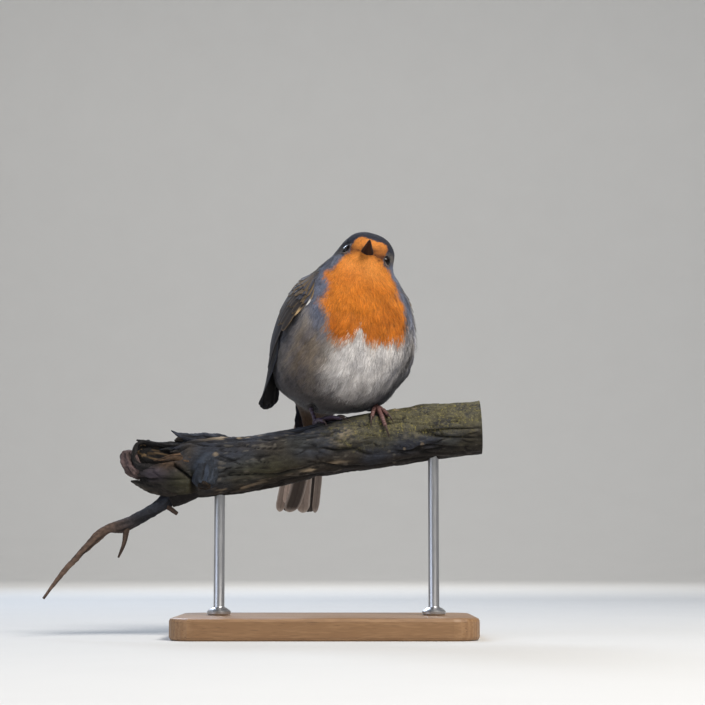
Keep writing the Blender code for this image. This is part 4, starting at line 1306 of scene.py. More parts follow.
# Each flap's colour and how deep it is for its width come first.
TORN_FLAPS = (
    (BARK_GREY, 1.6, (
        (-54, -0.5, 90.6, 2.0), (-61, -0.8, 91.2, 2.3), (-68, -1.4, 91.7, 2.2), (-74, -2.0, 92.0, 1.8),
        (-77.4, -2.4, 93.0, 1.1), (-79.2, -2.5, 94.2, 0.6), (-80.6, -2.5, 95.0, 0.25))),
    (BARK_BROWN, 1.2, ((-74, -2.3, 91.8, 1.4), (-76.6, -2.6, 91.2, 1.3), (-79.0, -2.8, 90.2, 0.4))),
    (BARK_DARK * 1.5, 1.5, (
        (-72, -5.2, 87.4, 1.3), (-79, -4.6, 87.8, 1.3), (-86, -3.6, 88.6, 1.1), (-92, -2.6, 89.5, 0.9),
        (-96.6, -2.2, 90.6, 0.35))),
    (BARK_DARK * 1.5, 1.2, (
        (-93.0, -3.0, 89.6, 0.7), (-96.2, -4.2, 88.4, 0.9), (-97.4, -5.4, 85.2, 1.3),
        (-97.4, -6.2, 81.6, 1.2), (-95.6, -6.8, 78.8, 1.7), (-92.5, -7.2, 77.4, 2.0),
        (-88, -7.6, 77.4, 1.2))),
    (BARK_BROWN, 1.4, (
        (-74, -4, 67.0, 2.4), (-82, -4.0, 67.6, 3.2), (-90, -3.2, 69.2, 2.6), (-96, -2.4, 70.9, 1.3),
        (-99, -2, 71.6, 0.4))),
    (BARK_RUST, 0.9, (
        (-66, -12.2, 79.5, 1.6), (-71, -12.4, 81.5, 1.9), (-76, -11.2, 82.4, 1.5), (-82, -9.0, 81.6, 1.1),
        (-88, -7.0, 80.6, 0.4))),
    (BARK_BROWN * 1.3, 1.0, ((-70, -9.5, 86.0, 1.6), (-75, -8.6, 85.6, 1.5), (-80.5, -7.6, 84.6, 0.4))),
)
KNOB = (
    (-63.2, -8.5, 82.6, 2.4), (-63.4, -10.8, 80.0, 4.0), (-63.8, -12.8, 76.6, 4.9), (-64, -14.6, 73, 5.1),
    (-64, -16.0, 70.4, 4.4), (-64, -16.7, 69.0, 3.5),
)
KNOB_HOLLOW = ((-64, -16.6, 69.6, 3.3), (-64, -17.3, 68.3, 3.0), (-64, -17.35, 68.2, 1.2))
TWIG_STATIONS = (
    (-76.0, 0.0, 69.0, 4.2), (-85.6, -2.0, 60.2, 3.0), (-96.2, -4.0, 53.8, 2.8), (-102.6, -5.5, 50.8, 2.9),
    (-108.6, -6.5, 49.6, 2.4), (-114.6, -7.5, 44.8, 2.0), (-127.6, -9.0, 31.0, 1.4),
    (-137.4, -10.0, 17.8, 0.6),
)
TWIG_BOSS = ((-66, -2.5, 70.0, 4.0), (-71, -2.2, 67.0, 4.4), (-76, -1.8, 65.6, 4.6), (-81, -2.0, 63.4, 4.0))
TWIG_FORK = ((-100.4, -5.5, 50.4, 1.7), (-101.2, -7.5, 43.0, 1.1), (-103.6, -9.0, 36.4, 0.45))
TWIG_STUB = ((-83.0, -2.0, 60.6, 1.5), (-77.4, -4.0, 56.6, 0.95))


def branch_middle(x):
    """The branch's middle and radius at places along X."""
    places = [row[0] for row in BRANCH_STATIONS]
    rows = through(BRANCH_STATIONS, np.interp(x, places, np.arange(len(places))))
    return np.stack([x, rows[..., 1], rows[..., 2]], axis=-1), rows[..., 3]


def half_turn(angle):
    """The same angle from -180 to 180."""
    return (angle + 180) % 360 - 180


def branch_point(x, angle, height=0.0):
    """Points on the bark or over it. Angles run from the top towards the front."""
    x, angle, height = np.broadcast_arrays(*(np.asarray(v, float) for v in (x, angle, height)))
    middle, radius = branch_middle(x)
    ahead = branch_middle(np.minimum(x + 2.0, BRANCH_STATIONS[-1][0]))[0] - branch_middle(x - 2.0)[0]
    front = np.broadcast_to(arr(0.0, -1.0, 0.0), ahead.shape)
    top = np.cross(front, unit(ahead))
    a = np.radians(angle)
    swell = 0.022 * np.sin(2 * a + x * 0.05) + 0.016 * np.sin(3 * a - x * 0.09 + 1.0)
    reach = radius * (1 + swell) + height
    return middle + (top * np.cos(a)[..., None] + front * np.sin(a)[..., None]) * reach[..., None]


def bark_height(x, at):
    """How far the bark stands over or under the plain branch, then its cracks and its fine grain."""
    wavy = at + 1.3 * np.stack([0 * x, noise(at, 9.0, 41), noise(at, 9.0, 43)], axis=-1)
    long_ = wavy * arr(0.085, 1.0, 1.0)
    first = np.abs(noise(long_, 4.4, 51))
    second = np.abs(noise(wavy * arr(0.16, 1.0, 1.0), 2.2, 53))
    cracks = (1 - ramp(first, 0.02, 0.13)) * ramp(noise(at, 18.0, 55), -0.55, 0.0)
    small = 0.7 * (1 - ramp(second, 0.02, 0.15)) * ramp(noise(at, 8.0, 57), -0.3, 0.4)
    cracks = np.maximum(cracks, small)
    lumps = layered(at, 12.0, 3, 61)
    fine = layered(at * arr(0.45, 1.0, 1.0), 1.3, 3, 63)
    plates = ramp(first, 0.05, 0.5)
    return 0.35 * lumps + 0.45 * plates + 0.16 * fine - 1.0 * cracks - 0.35, cracks, fine


def bark_tone(x, turn, at, cracks, fine):
    """The bark's colour: slate above, olive in front, tan where stripped, lichen to the right, with painted
    shade underneath and in the cracks.
    """
    cloud = layered(at, 15.0, 3, 71)
    green = blob(x, -40, 17) * blob(turn, 112, 26) + 0.5 * ramp(noise(at, 14.0, 73), 0.2, 0.8)
    tone = laid(BARK_BROWN + 0 * at,
                (BARK_GREY, ramp(cloud + 0.9 * np.cos(np.radians(turn - 25)), -0.4, 0.7)),
                (BARK_OLIVE, np.minimum(0.85 * green, 0.9)))
    tone = tone * (1 + 0.35 * fine + 0.22 * noise(at * arr(0.5, 1, 1), 0.8, 75))[..., None]
    specks = at * arr(0.4, 1, 1)
    streaks = at * arr(0.12, 1.0, 1.0)
    stripped = ramp(noise(streaks, 2.6, 81) + 0.3 * noise(at, 2.0, 83), 0.18, 0.42)
    low_strip = blob(x, -50, 9) * blob(turn, 138, 10) + blob(x, -14, 13) * blob(turn + 0.5 * x, 124, 5)
    low_strip = low_strip * ramp(noise(streaks, 1.5, 85), 0.05, 0.3)
    wear_and_shade = blob(x, 0.0, 7.0) * blob(turn, 62, 26) * ramp(noise(at * arr(0.5, 1, 1), 0.8, 87), -0.1, 0.5)
    cover = ramp(x + 8 * cloud, -14, 20) * ramp(-np.abs(turn - 30), -84, -40)
    # Painted shade darkens the underside and the cracks.
    return np.clip(laid(
        tone,
        (BARK_DARK, 0.75 * ramp(np.abs(turn - 10), 105, 160)),
        (BARK_PALE, 0.55 * ramp(noise(specks, 1.0, 77) + 0.5 * noise(at, 6.0, 79), 0.48, 0.85)),
        (WOOD_PALE, 1.5 * stripped * blob(x, -46, 12) * blob(turn, 14, 22)),
        (WOOD_PALE * 0.55, 1.2 * low_strip),
        (WOOD_PALE * 0.62, 0.6 * wear_and_shade),
        (LICHEN * 0.62, 0.75 * cover * ramp(noise(at, 5.0, 95), -0.7, 0.3)),
        (BARK_DARK * 0.35, 1.15 * cracks)), 0, 1)


def knot_shape(at):
    """Small round knots: their rise and how far a place is on one."""
    rise, mark = np.zeros(at.shape[:-1]), np.zeros(at.shape[:-1])
    for x, angle, size in KNOTS:
        reach = np.linalg.norm(at - branch_point(x, angle), axis=-1) / size
        rise = rise + 0.5 * blob(reach, 0.75, 0.35) - 0.3 * blob(reach, 0, 0.4)
        mark = mark + 1 - ramp(reach, 0.45, 0.8)
    return rise, np.clip(mark, 0, 1)


def broken_edge(angle):
    """Where along X the bark ends at the broken end: torn furthest back above the hollow."""
    turn = half_turn(angle)
    spot = np.stack([0 * turn, 14 * np.cos(np.radians(turn)), 14 * np.sin(np.radians(turn))], axis=-1)
    teeth = 2.2 * noise(spot, 3.4, 105) + 1.6 * noise(spot, 1.5, 106)
    return TORN_EDGE + sum(depth * blob(turn, middle, reach) for middle, reach, depth in TORN_BACK) + teeth


def end_forms(x, at):
    """Swellings and clefts of the bark near its broken end: height, then colours with their shares."""
    front = ramp(-at[..., 1], 0.0, 4.0)
    z = at[..., 2]
    fibre = noise(np.stack([(x + z) * 0.18, x - z, at[..., 1]], axis=-1), 1.6, 141)
    grain = fibre[..., None]
    lip, bump, roll, ribs, under, boss = (
        blob(x, middle, reach) * blob(z, level, rise) * front for middle, reach, level, rise in END_SWELLS)
    rim = blob(x - 0.35 * (z - 70), -71.5, 1.1) * blob(z, 71, 4.5) * front
    line = (x + 78.5) / 10.0
    cleft = blob(z - (78.9 - 8.2 * line), 0.0, 1.0) * span(line, -0.05, 0.1, 0.95, 1.15) * front
    cleft = np.maximum(cleft, under)
    height = 2.0 * lip + 1.5 * bump + 1.9 * roll + 0.9 * rim + 0.5 * ribs - 2.6 * cleft
    height = height + 0.7 * fibre * (lip + ribs) + 3.4 * boss * (1 + 0.3 * fibre)
    # The clefts are painted dark as shade; the roll is painted lighter towards its right and along its rim,
    # as a highlight where light falls on its edge.
    return height, (
        (BARK_BROWN * 1.7 * (1 + 0.4 * grain), 0.85 * lip), (BARK_VIOLET, 0.9 * bump),
        (BARK_OLIVE * (0.65 + 0.4 * ramp(x, -80, -72))[..., None], 0.9 * roll),
        (BARK_BLUE * (1 + 0.5 * grain), 0.9 * ramp(boss, 0.1, 0.6)), (BARK_OLIVE * 1.5, 0.7 * rim),
        (BARK_RUST * (1.1 + 0.5 * grain), 0.9 * ribs), (BARK_DARK * 0.2, cleft))


def make_branch(finish):
    """The branch: its bark, broken open at the left and sawn at the right, and the torn wood inside."""
    rows, columns = 500, 180
    right = BRANCH_STATIONS[-1][0]
    share, angle = np.meshgrid(np.linspace(0, 1, rows), np.arange(columns) * 360 / columns, indexing="ij")
    edge = broken_edge(angle)
    x = edge + (right - edge) * share
    at = branch_point(x, angle)
    bark, cracks, fine = bark_height(x, at)
    knots, knot_mark = knot_shape(at)
    end_wear = 1 - ramp(x, edge - 2, edge + 16)
    ridges = layered(at * arr(0.14, 1.0, 1.0), 3.0, 3, 101)
    furrow = 1 - ramp(np.abs(noise(at * arr(0.10, 1.0, 1.0), 3.6, 111)), 0.03, 0.2)
    forms, form_tones = end_forms(x, at)
    height = bark + knots + forms + end_wear * (1.3 * ridges - 1.8 * furrow - 0.3)
    height = height * ramp(right - x, -0.5, 2.0) - 0.3
    points = branch_point(x, angle, height)
    # Painted shade in the furrows between the ridges near the broken end.
    wear_and_shade = np.clip(end_wear * (ramp(-ridges, 0.0, 0.8) + furrow), 0, 1) * 0.85
    tone = laid(bark_tone(x, half_turn(angle), at, cracks, fine), (WOOD_PALE * 0.6, 0.7 * knot_mark),
                *form_tones, (BARK_DARK * 0.5, wear_and_shade))
    tone = np.clip(tone, 0, 1)
    # The sawn face is ringed, so that its year rings show.
    shares = np.linspace(1, 0, 30)[1:-1]
    heart = points[-1].mean(axis=0)
    sawn = heart + (points[-1] - heart) * shares[:, None, None]
    ring_tone = CUT_WOOD * (0.86 + 0.14 * np.sin(shares * 60 + 0.6 * noise(sawn, 5.0, 5).T).T[..., None])
    # Behind the torn edge the wall turns in under the bark, painted dark as the shade inside.
    middle = branch_middle(points[0][:, 0])[0]
    walls = []
    for depth, reach in ((9.0, 0.70), (5.0, 0.78), (1.6, 0.84), (0.3, 0.92)):
        wall = middle + (points[0] - middle) * reach
        wall[:, 0] = points[0][:, 0] + depth
        walls.append(wall)
    walls = np.array(walls)
    bunch = Bunch()
    bunch.tube(np.concatenate([walls, points, sawn]),
               np.concatenate([walls * 0 + BARK_DARK * 0.5, tone, ring_tone]))
    bunch.piece("branch_bark", finish, "branch", slot="bark")
    torn = Bunch()
    add_broken_end(torn)
    torn.piece("branch_torn_end", finish, "branch", slot="bark")


def rough_tube(bunch, stations, tone, seed, around, rows, rough, lump, dark=0.6, flat=1.0, streak=None):
    """A gnarled tube through rows of place and radius. Its ridges stand rough high and lump apart,
    dark is how much painted shade lies between them, flat how deep it is for its width, streak its fibres'
    colour."""
    along = np.linspace(0, len(stations) - 1, rows)
    path = through(stations, along)
    rings = sweep_rings(path[:, :3], np.maximum(path[:, 3], 0.1), around)
    arm = (rings - path[:, None, :3]) * arr(1, flat, 1)
    walked = np.concatenate([[0], np.cumsum(np.linalg.norm(np.diff(path[:, :3], axis=0), axis=-1))])
    turn = np.arange(around) * 2 * math.pi / around
    grain = np.stack([np.broadcast_to(walked[:, None] * 0.2, arm.shape[:2]),
                      np.cos(turn) * path[:, 3:4], np.sin(turn) * path[:, 3:4]], axis=-1)
    ridge = layered(grain, lump, 3, seed)
    fine = layered(rings, 1.0, 2, seed + 3)
    rise = rough * ridge + 0.12 * fine - 0.1
    rings = path[:, None, :3] + arm + unit(arm) * (rise * ramp(path[:, 3:4], 0.0, 2.0))[..., None]
    tones = tone * (1 + 0.35 * fine)[..., None]
    # Painted shade between the ridges.
    tones = mixed(tones, BARK_DARK * 0.5, dark * ramp(-ridge, -0.1, 0.8))
    if streak is not None:
        fibres = noise(grain * arr(0.5, 1, 1), lump * 0.3, seed + 9) + 0.5 * noise(grain, lump, seed + 11)
        tones = mixed(tones, streak, 0.75 * ramp(fibres, 0.25, 0.6))
    bunch.tube(rings, np.clip(tones, 0, 1))


def add_broken_end(bunch):
    """The streaked core in the hollow, bare heartwood, torn flaps of bark, and a side branch's stub."""
    rough_tube(bunch, TORN_CORE, BARK_DARK * 0.7, 195, 90, 110, 1.3, 2.2, 0.9, 0.6, WOOD_GOLD)
    rough_tube(bunch, TORN_SLAB, HEART_PINK, 201, 80, 110, 1.5, 1.7, 0.85, 1.5, HEART_PINK * 1.7)
    for k, (tone, flat, stations) in enumerate(TORN_FLAPS):
        rough_tube(bunch, stations, tone, 211 + 7 * k, 36, 90, 0.95, 1.4, 0.85, flat, tone * 2.2)
    rough_tube(bunch, KNOB, BARK_BLUE * 0.7, 251, 70, 100, 1.2, 2.8, 0.9, 1.0, BARK_BLUE * 2.0)
    # The knob's hollow is painted dark as shade.
    rough_tube(bunch, KNOB_HOLLOW, BARK_RUST * 0.25, 261, 32, 12, 0.4, 1.2, 0.9)


def bark_finish():
    made = Finish("bark", specular_ior_level=0.25)
    stretched = made.stretched(0.25, 1.0, 1.0)
    coarse = made.mottle(1.6, 6.0, stretched, 0.65)
    fine = made.mottle(0.45, 4.0)
    colour = made.mix(coarse.between(0.35, 0.75) * 0.5, made.attribute(), (0.010, 0.009, 0.009))
    colour = made.mix(fine.between(0.55, 0.8) * 0.25, colour, (0.20, 0.18, 0.16))
    # Lichen lies on the upper side, to the right of where the bird grips.
    x, z = (made.node("SeparateXYZ", axis, Vector=made.place()) for axis in "XZ")
    patches = made.mottle(7.0, 2.0) * 0.012
    slope, level = LICHEN_EDGE
    over = (z - x * slope - level * MM + patches).between(0.0, 0.011)
    cover = over * (x + patches * 2.0).between(*(start * MM for start in LICHEN_START))
    specks = made.mottle(0.32, 3.0, None, 0.6) + made.mottle(1.6, 4.0, None, 0.7)
    colour = made.mix(cover * specks.between(0.92, 1.22) * 0.85, colour, LICHEN)
    bright = made.mottle(0.34, 2.0, made.stretched(1.0, 1.1, 0.9)) + made.mottle(1.4, 3.0)
    colour = made.mix(cover * bright.between(1.10, 1.26) * 0.9, colour, LICHEN_YELLOW)
    made.bumped(coarse * 0.7 + fine * 0.4 + cover * specks, 0.5, 0.8)
    return made.wear(base_color=colour, roughness=0.7 + coarse * 0.3).made


def make_twig(finish):
    """The thin twig under the broken end, with its fork and a stub."""
    bunch = Bunch()
    tone = mixed(BARK_GREY * 0.7, TWIG_BROWN, ramp(np.linspace(0, 7, 220), 1.5, 5.0))[:, None]
    swollen = [(x, y, z, r * (1.08 if k % 2 else 0.96)) for k, (x, y, z, r) in enumerate(TWIG_STATIONS)]
    rough_tube(bunch, swollen, tone, 351, 32, 220, 0.42, 1.5)
    rough_tube(bunch, TWIG_BOSS, BARK_DARK * 1.6, 361, 40, 60, 0.7, 2.2)
    rough_tube(bunch, TWIG_FORK, TWIG_BROWN * 0.6, 461, 18, 50, 0.15, 1.2)
    rough_tube(bunch, TWIG_STUB, TWIG_BROWN * 0.6, 471, 18, 50, 0.15, 1.2)
    bunch.piece("branch_twig_bark", finish, "branch_twig", slot="bark")


# ---------------------------------------------------------------- feet

TARSUS_LENGTH = 22.0
TARSUS_RADIUS = 1.0
SOLE_RADIUS = 1.9
TOE_RADIUS = 1.05
GAP = 0.3
TOE_LENGTHS = {"middle": 15.5, "inner": 10.0, "outer": 11.0, "hind": 8.5}
CLAW_LENGTHS = {"middle": 5.0, "inner": 4.0, "outer": 4.0, "hind": 5.6}
FEET = {
    "right": {"along": -11.0, "angle": -22.0, "lean": (-0.33, 0.22, 0.90),
              "slants": {"middle": 46.0, "inner": 76.0, "outer": 18.0, "hind": 212.0}},
    "left": {"along": 17.0, "angle": 2.0, "lean": (-0.12, 0.40, 0.83),
             "slants": {"middle": 9.0, "inner": -16.0, "outer": 24.0, "hind": 188.0}},
}
# The right foot is tinted blue-violet as a painted cool highlight from the sky; the left keeps nearly its
# own colour.
LEG_SKY_TINTS = {"left": (1.0, 0.95, 0.95), "right": (0.66, 0.92, 1.6)}
LEG_BROWN = paint(94, 64, 60)
LEG_PALE_HIGHLIGHT = paint(140, 110, 106)
LEG_DARK = paint(52, 34, 32)
CLAW_DARK = paint(48, 36, 34)
CLAW_PALE = paint(104, 82, 72)


def toe_place(foot, slant, distance, height):
    """Points over the bark at a distance from the sole, on a line that winds round the branch."""
    s = math.radians(slant)
    radius = float(branch_middle(np.asarray(foot["along"]))[1])
    angle = foot["angle"] + np.degrees(distance * math.cos(s) / radius)
    return branch_point(foot["along"] + distance * math.sin(s), angle, height)


def scaled_limb(bunch, path, radii, upward, seed, scutes, tint, pads=0.0):
    """A limb with broad scales along its front, and fine grain and pads behind."""
    rng = np.random.default_rng(seed)
    rings = sweep_rings(path, radii, 22)
    arm = rings - path[:, None]
    facing = np.sum(unit(arm) * upward[:, None], axis=-1)
    t = np.linspace(0, 1, len(path))[:, None]
    phase = t * scutes
    step = phase - np.floor(phase)
    scale_edge = (1 - ramp(step, 0.0, 0.16)) * ramp(facing, -0.1, 0.5)
    swell = 0.05 * ramp(step, 0.1, 0.5) * ramp(facing, -0.2, 0.4) - 0.05 * scale_edge
    pad = pads * ramp(-facing, 0.2, 0.8) * np.abs(np.sin(math.pi * t * 4)) ** 0.6
    grain = 0.03 * noise(rings, 0.5, seed) * (1 - ramp(facing, -0.2, 0.4))
    rings = path[:, None] + arm * (1 + swell + pad + grain)[..., None]
    # The scales' tops facing up or to the front get a painted highlight over their own paler tone; the side
    # facing away gets painted shade, and the scales' edges are dark joints.
    tone = laid(LEG_BROWN, (LEG_PALE_HIGHLIGHT, 0.55 * ramp(step, 0.2, 0.8) * ramp(facing, 0, 0.6)),
                (LEG_DARK, 0.7 * scale_edge + 0.45 * ramp(-facing, 0.1, 0.8)))
    tone = tone * (1 + 0.12 * noise(rings, 1.4, seed + 1) + rng.normal(0, 0.02))[..., None]
    bunch.tube(rings, np.clip(tone * tint, 0, 1))


def make_foot(side, leg_look, claw_look, seed):
    """A bare leg, its four toes and their claws."""
    foot = FEET[side]
    sole = toe_place(foot, 0.0, 0.0, SOLE_RADIUS * 0.8 + GAP)
    lean = unit(arr(*foot["lean"]))
    bunch, claws = Bunch(), Bunch()
    tint = arr(*LEG_SKY_TINTS[side])
    t = np.linspace(0, 1, 90)
    path = sole + lean * (TARSUS_LENGTH * t - 0.3)[:, None]
    heading = math.radians(BIRD_HEADING)
    front = np.broadcast_to(arr(math.sin(heading), -math.cos(heading), 0), path.shape)
    radii = TARSUS_RADIUS * (0.9 + 0.40 * blob(t, 0, 0.08) - 0.05 * np.sin(math.pi * t))
    scaled_limb(bunch, path, radii[:, None], front, seed, 11, tint)
    bunch.tube(egg(sole, arr(1.75, 1.75, 1.45), 20, 28), LEG_BROWN * 0.9 * tint)
    for k, (digit, length) in enumerate(TOE_LENGTHS.items()):
        slant = foot["slants"][digit]
        t = np.linspace(0, 1, 80)
        joints = 1 + 0.07 * np.cos(6 * math.pi * t)
        radius = TOE_RADIUS * 1.12 * (1 - 0.30 * t) * joints * (1 - 0.35 * ramp(t, 0.93, 1.0))
        path = toe_place(foot, slant, 0.4 + length * t, radius + GAP * 0.4)
        upward = unit(path - branch_middle(path[:, 0])[0])
        scaled_limb(bunch, path, radius[:, None], upward, seed + 10 + k, length * 0.95, tint, pads=0.10)
        add_claw(claws, foot, slant, length, CLAW_LENGTHS[digit])
    bunch.piece(f"foot_{side}", leg_look, f"leg_{side}", slot="leg_skin")
    digits = [f"claw_{side}_{digit}" for digit in TOE_LENGTHS]
    claws.piece(f"claws_{side}", claw_look, *digits, slot="claw")


def egg(middle, half_sizes, rows, columns):
    """Rings of an egg or a ball."""
    lat = np.linspace(0.02, math.pi - 0.02, rows)[:, None]
    lon = np.arange(columns)[None, :] * 2 * math.pi / columns
    ball = np.stack([np.sin(lat) * np.cos(lon), np.sin(lat) * np.sin(lon), np.cos(lat) + 0 * lon], axis=-1)
    return middle + ball * half_sizes


def add_claw(bunch, foot, slant, toe_length, length):
    """A claw that arches off the end of its toe and comes down to the bark in a point."""
    t = np.linspace(-0.06, 1, 40)
    share = np.clip(t, 0, 1)
    arch = 0.75 * np.sin(math.pi * (0.25 + 0.75 * share)) - 0.35 * share
    distance = 0.4 + toe_length + GAP + length * t
    radius = 0.62 * (1 - share) ** 0.7 + 0.08
    path = toe_place(foot, slant, distance, radius + GAP + 0.25 + arch)
    rings = sweep_rings(path, radius[:, None], 14, 0.8)
    tone = mixed(CLAW_DARK + 0 * rings, CLAW_PALE, (0.5 * (1 - share))[:, None] + 0 * rings[..., 0])
    bunch.tube(rings, tone)


def leg_finish():
    return grained_finish("leg_skin", (0.3, 3.0), (0.3, 0.8, 0.4, (0.06, 0.025, 0.022)), (0.05, 0.7),
                          (0.36, 0.3), specular_ior_level=0.4)


# ---------------------------------------------------------------- stand and stage

ROD_RADIUS = 2.5
# Up a rod from the base: radius and height of its collar, then how far under the branch's middle it ends.
COLLAR = ((5.1, 0.0), (5.5, 0.4), (5.5, 1.5), (5.15, 1.9), (3.75, 3.0), (2.7, 3.45), (ROD_RADIUS, 3.9))
ROD_ENDS = (8.0, 3.0)


def wood_finish():
    """Oiled wood with long grain, pores and a soft sheen."""
    made = Finish("stand_wood", specular_ior_level=0.4)
    grain = made.mottle(3.0, 5.0, made.stretched(0.12, 1.0, 1.0), 0.6)
    lines = made.node("TexWave", "Fac", {"wave_type": "BANDS", "bands_direction": "Y"},
                      Vector=made.stretched(0.12, 1.0, 1.0), Scale=210.0, Distortion=6.0, Detail=3.0,
                      i5=1.2)
    pores = made.mottle(0.5, 2.0, made.stretched(0.06, 1.0, 1.0)).between(0.6, 0.72)
    colour = made.mix(lines * 0.45 + grain * 0.4, (0.36, 0.21, 0.105), (0.21, 0.11, 0.05))
    colour = made.mix(pores * 0.5, colour, (0.07, 0.035, 0.016))
    made.bumped(lines * 0.3 - pores, 0.08, 0.5)
    return made.wear(base_color=colour, roughness=0.34 + grain * 0.2).made


def metal_finish():
    made = Finish("stand_metal", metallic=1.0)
    brushed = made.mottle(0.5, 4.0, made.stretched(1.0, 1.0, 0.04))
    colour = made.mix(brushed, (0.52, 0.52, 0.53), (0.66, 0.66, 0.67))
    made.bumped(brushed, 0.02, 0.35)
    return made.wear(base_color=colour, roughness=0.24 + brushed * 0.2).made


def extruded(profile, x=0.0):
    """Draws the circle being edited up through a profile of radius and height, round x."""
    for (before, z0), (after, z1) in zip(profile, profile[1:]):
        bpy.ops.mesh.extrude_region_move(TRANSFORM_OT_translate={"value": (0, 0, (z1 - z0) * MM)})
        share = after / before
        bpy.ops.transform.resize(value=(share, share, 1.0), center_override=(x * MM, 0.0, z1 * MM))


def make_rod(name, finish):
    """A round rod up to the branch with a stepped collar on the base, turned from one cylinder."""
    node = f"stand_rod_{name}"
    low, high = (np.array(corner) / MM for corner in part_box(node))
    x = (low[0] + high[0]) / 2
    foot = low[2]
    top = float(branch_middle(np.asarray(x))[0][2])
    profile = [(radius, foot + height) for radius, height in COLLAR]
    profile += [(ROD_RADIUS, top - under) for under in ROD_ENDS]
    deselected()
    bpy.ops.mesh.primitive_circle_add(vertices=48, radius=profile[0][0] * MM,
                                      location=(x * MM, 0.0, profile[0][1] * MM), fill_type="TRIFAN")
    rod = bpy.context.active_object
    rod.name = f"rod_{name}"
    bpy.ops.object.mode_set(mode="EDIT")
    extruded(profile, x)
    bpy.ops.object.mode_set(mode="OBJECT")
    settled(rod)
    outward(rod)
    bpy.ops.object.shade_smooth_by_angle(angle=math.radians(35))
    return dressed(rod, finish, node, slot="stand_metal")


def make_stand(wood, metal):
    """The base keeps its solid and gets its wood; the rods are turned anew."""
    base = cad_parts["stand_base"]
    base.data.materials.clear()
    base.data.materials.append(wood)
    for name in ("left", "right"):
        make_rod(name, metal)


CAMERA_DISTANCE = 900.0
CAMERA_TILT = 6.0
CAMERA_AIM = (3.5, 0.0, 131.66)
CAMERA_LENS = 98.4
CAMERA_SENSOR = 36.0
CAMERA_CLIP = (50.0, 20000.0)

FLOOR_RADIUS = 2000.0
FLOOR_BEND = 900.0
FLOOR_STEPS = 12
BACKDROP_TOP = 3400.0

LIT_POINT = (0.0, 0.0, 130.0)
# Lights: place, aim, size and colour. The stage's settings hold their power.
LIGHTS = {
    "key": ((560, -760, 1100), LIT_POINT, 480, (1.0, 0.96, 0.90)),
    "sky": ((-1100, -500, 700), LIT_POINT, 900, (0.70, 0.80, 1.0)),
    "rim": ((-350, 900, 800), LIT_POINT, 400, (0.70, 0.82, 1.0)),
    "backdrop": ((0, 1100, 900), (0, 2600, 300), 600, (1.0, 0.99, 0.97)),
}
WORLD_COLOUR = (0.86, 0.90, 1.0, 1.0)
WORLD_STRENGTH = 0.2


def make_camera():
    """A long lens that looks slightly up at the bird, just over the floor."""
    tilt = math.radians(CAMERA_TILT)
    data = bpy.data.cameras.new("camera")
    data.lens = CAMERA_LENS
    data.sensor_width = CAMERA_SENSOR
    data.clip_start, data.clip_end = (distance * MM for distance in CAMERA_CLIP)
    camera = bpy.data.objects.new("camera", data)
    bpy.context.scene.collection.objects.link(camera)
    x, y, z = CAMERA_AIM
    camera.location = (x * MM, (y - CAMERA_DISTANCE * math.cos(tilt)) * MM,
                       (z - CAMERA_DISTANCE * math.sin(tilt)) * MM)
    camera.rotation_euler = (math.radians(90) + tilt, 0.0, 0.0)
    bpy.context.scene.camera = camera


def make_light(name, watts):
    at, aim, size, colour = LIGHTS[name]
    data = bpy.data.lights.new(name, "AREA")
    data.size = size * MM
    data.energy = watts
    data.color = colour
    lamp = bpy.data.objects.new(name, data)
    bpy.context.scene.collection.objects.link(lamp)
    lamp.location = arr(*at) * MM
    way = unit(arr(*aim) - arr(*at))
    up = unit(np.cross(np.cross(way, arr(0, 0, 1)), way))
    right = np.cross(way, up)
    lamp.rotation_euler = mathutils.Matrix(np.stack([right, up, -way], axis=1).tolist()).to_euler()


def make_floor():
    """A pale floor that curves up into a backdrop all round the model, turned from one circle."""
    profile = [(FLOOR_RADIUS, 0.0)]
    for k in range(FLOOR_STEPS):
        a = math.pi / 2 * (k + 1) / FLOOR_STEPS
        profile.append((FLOOR_RADIUS + FLOOR_BEND * math.sin(a), FLOOR_BEND * (1 - math.cos(a))))
    profile.append((FLOOR_RADIUS + FLOOR_BEND, BACKDROP_TOP))
    deselected()
    bpy.ops.mesh.primitive_circle_add(vertices=96, radius=profile[0][0] * MM, location=(0.0, 0.0, 0.0))
    floor = bpy.context.active_object
    floor.name = "floor"
    bpy.ops.object.mode_set(mode="EDIT")
    extruded(profile)
    bpy.ops.mesh.primitive_circle_add(vertices=96, radius=profile[0][0] * MM, location=(0.0, 0.0, 0.0),
                                      fill_type="NGON")
    bpy.ops.mesh.select_all(action="SELECT")
    bpy.ops.mesh.remove_doubles(threshold=0.0001)
    bpy.ops.mesh.normals_make_consistent(inside=True)
    bpy.ops.object.mode_set(mode="OBJECT")
    bpy.ops.object.shade_smooth_by_angle(angle=math.radians(30))
    made = Finish("studio_paper", roughness=0.95, specular_ior_level=0.1)
    made.wear(base_color=made.mix(made.mottle(60.0), (0.70, 0.695, 0.68), (0.73, 0.725, 0.71)))
    floor.data.materials.append(made.made)


def make_world():
    world = bpy.data.worlds.new("studio")
    world.use_nodes = True
    background = world.node_tree.nodes["Background"]
    background.inputs["Color"].default_value = WORLD_COLOUR
    background.inputs["Strength"].default_value = WORLD_STRENGTH
    bpy.context.scene.world = world
    bpy.context.scene.view_settings.view_transform = "Standard"


# ---------------------------------------------------------------- add-on

SEEDS = {"wings": 31, "tail": 41, "lids": 51, "bristles": 61, "feet": 71}


class RobinCoatSettings(bpy.types.PropertyGroup):
    """What a user would change about the coat."""

    density: bpy.props.FloatProperty(
        name="Density", description="How many tufts there are, as a share of the plain coat",
        default=1.0, min=0.05, max=2.0)
    seed: bpy.props.IntProperty(name="Seed", description="Picks the scatter of the tufts", default=7)


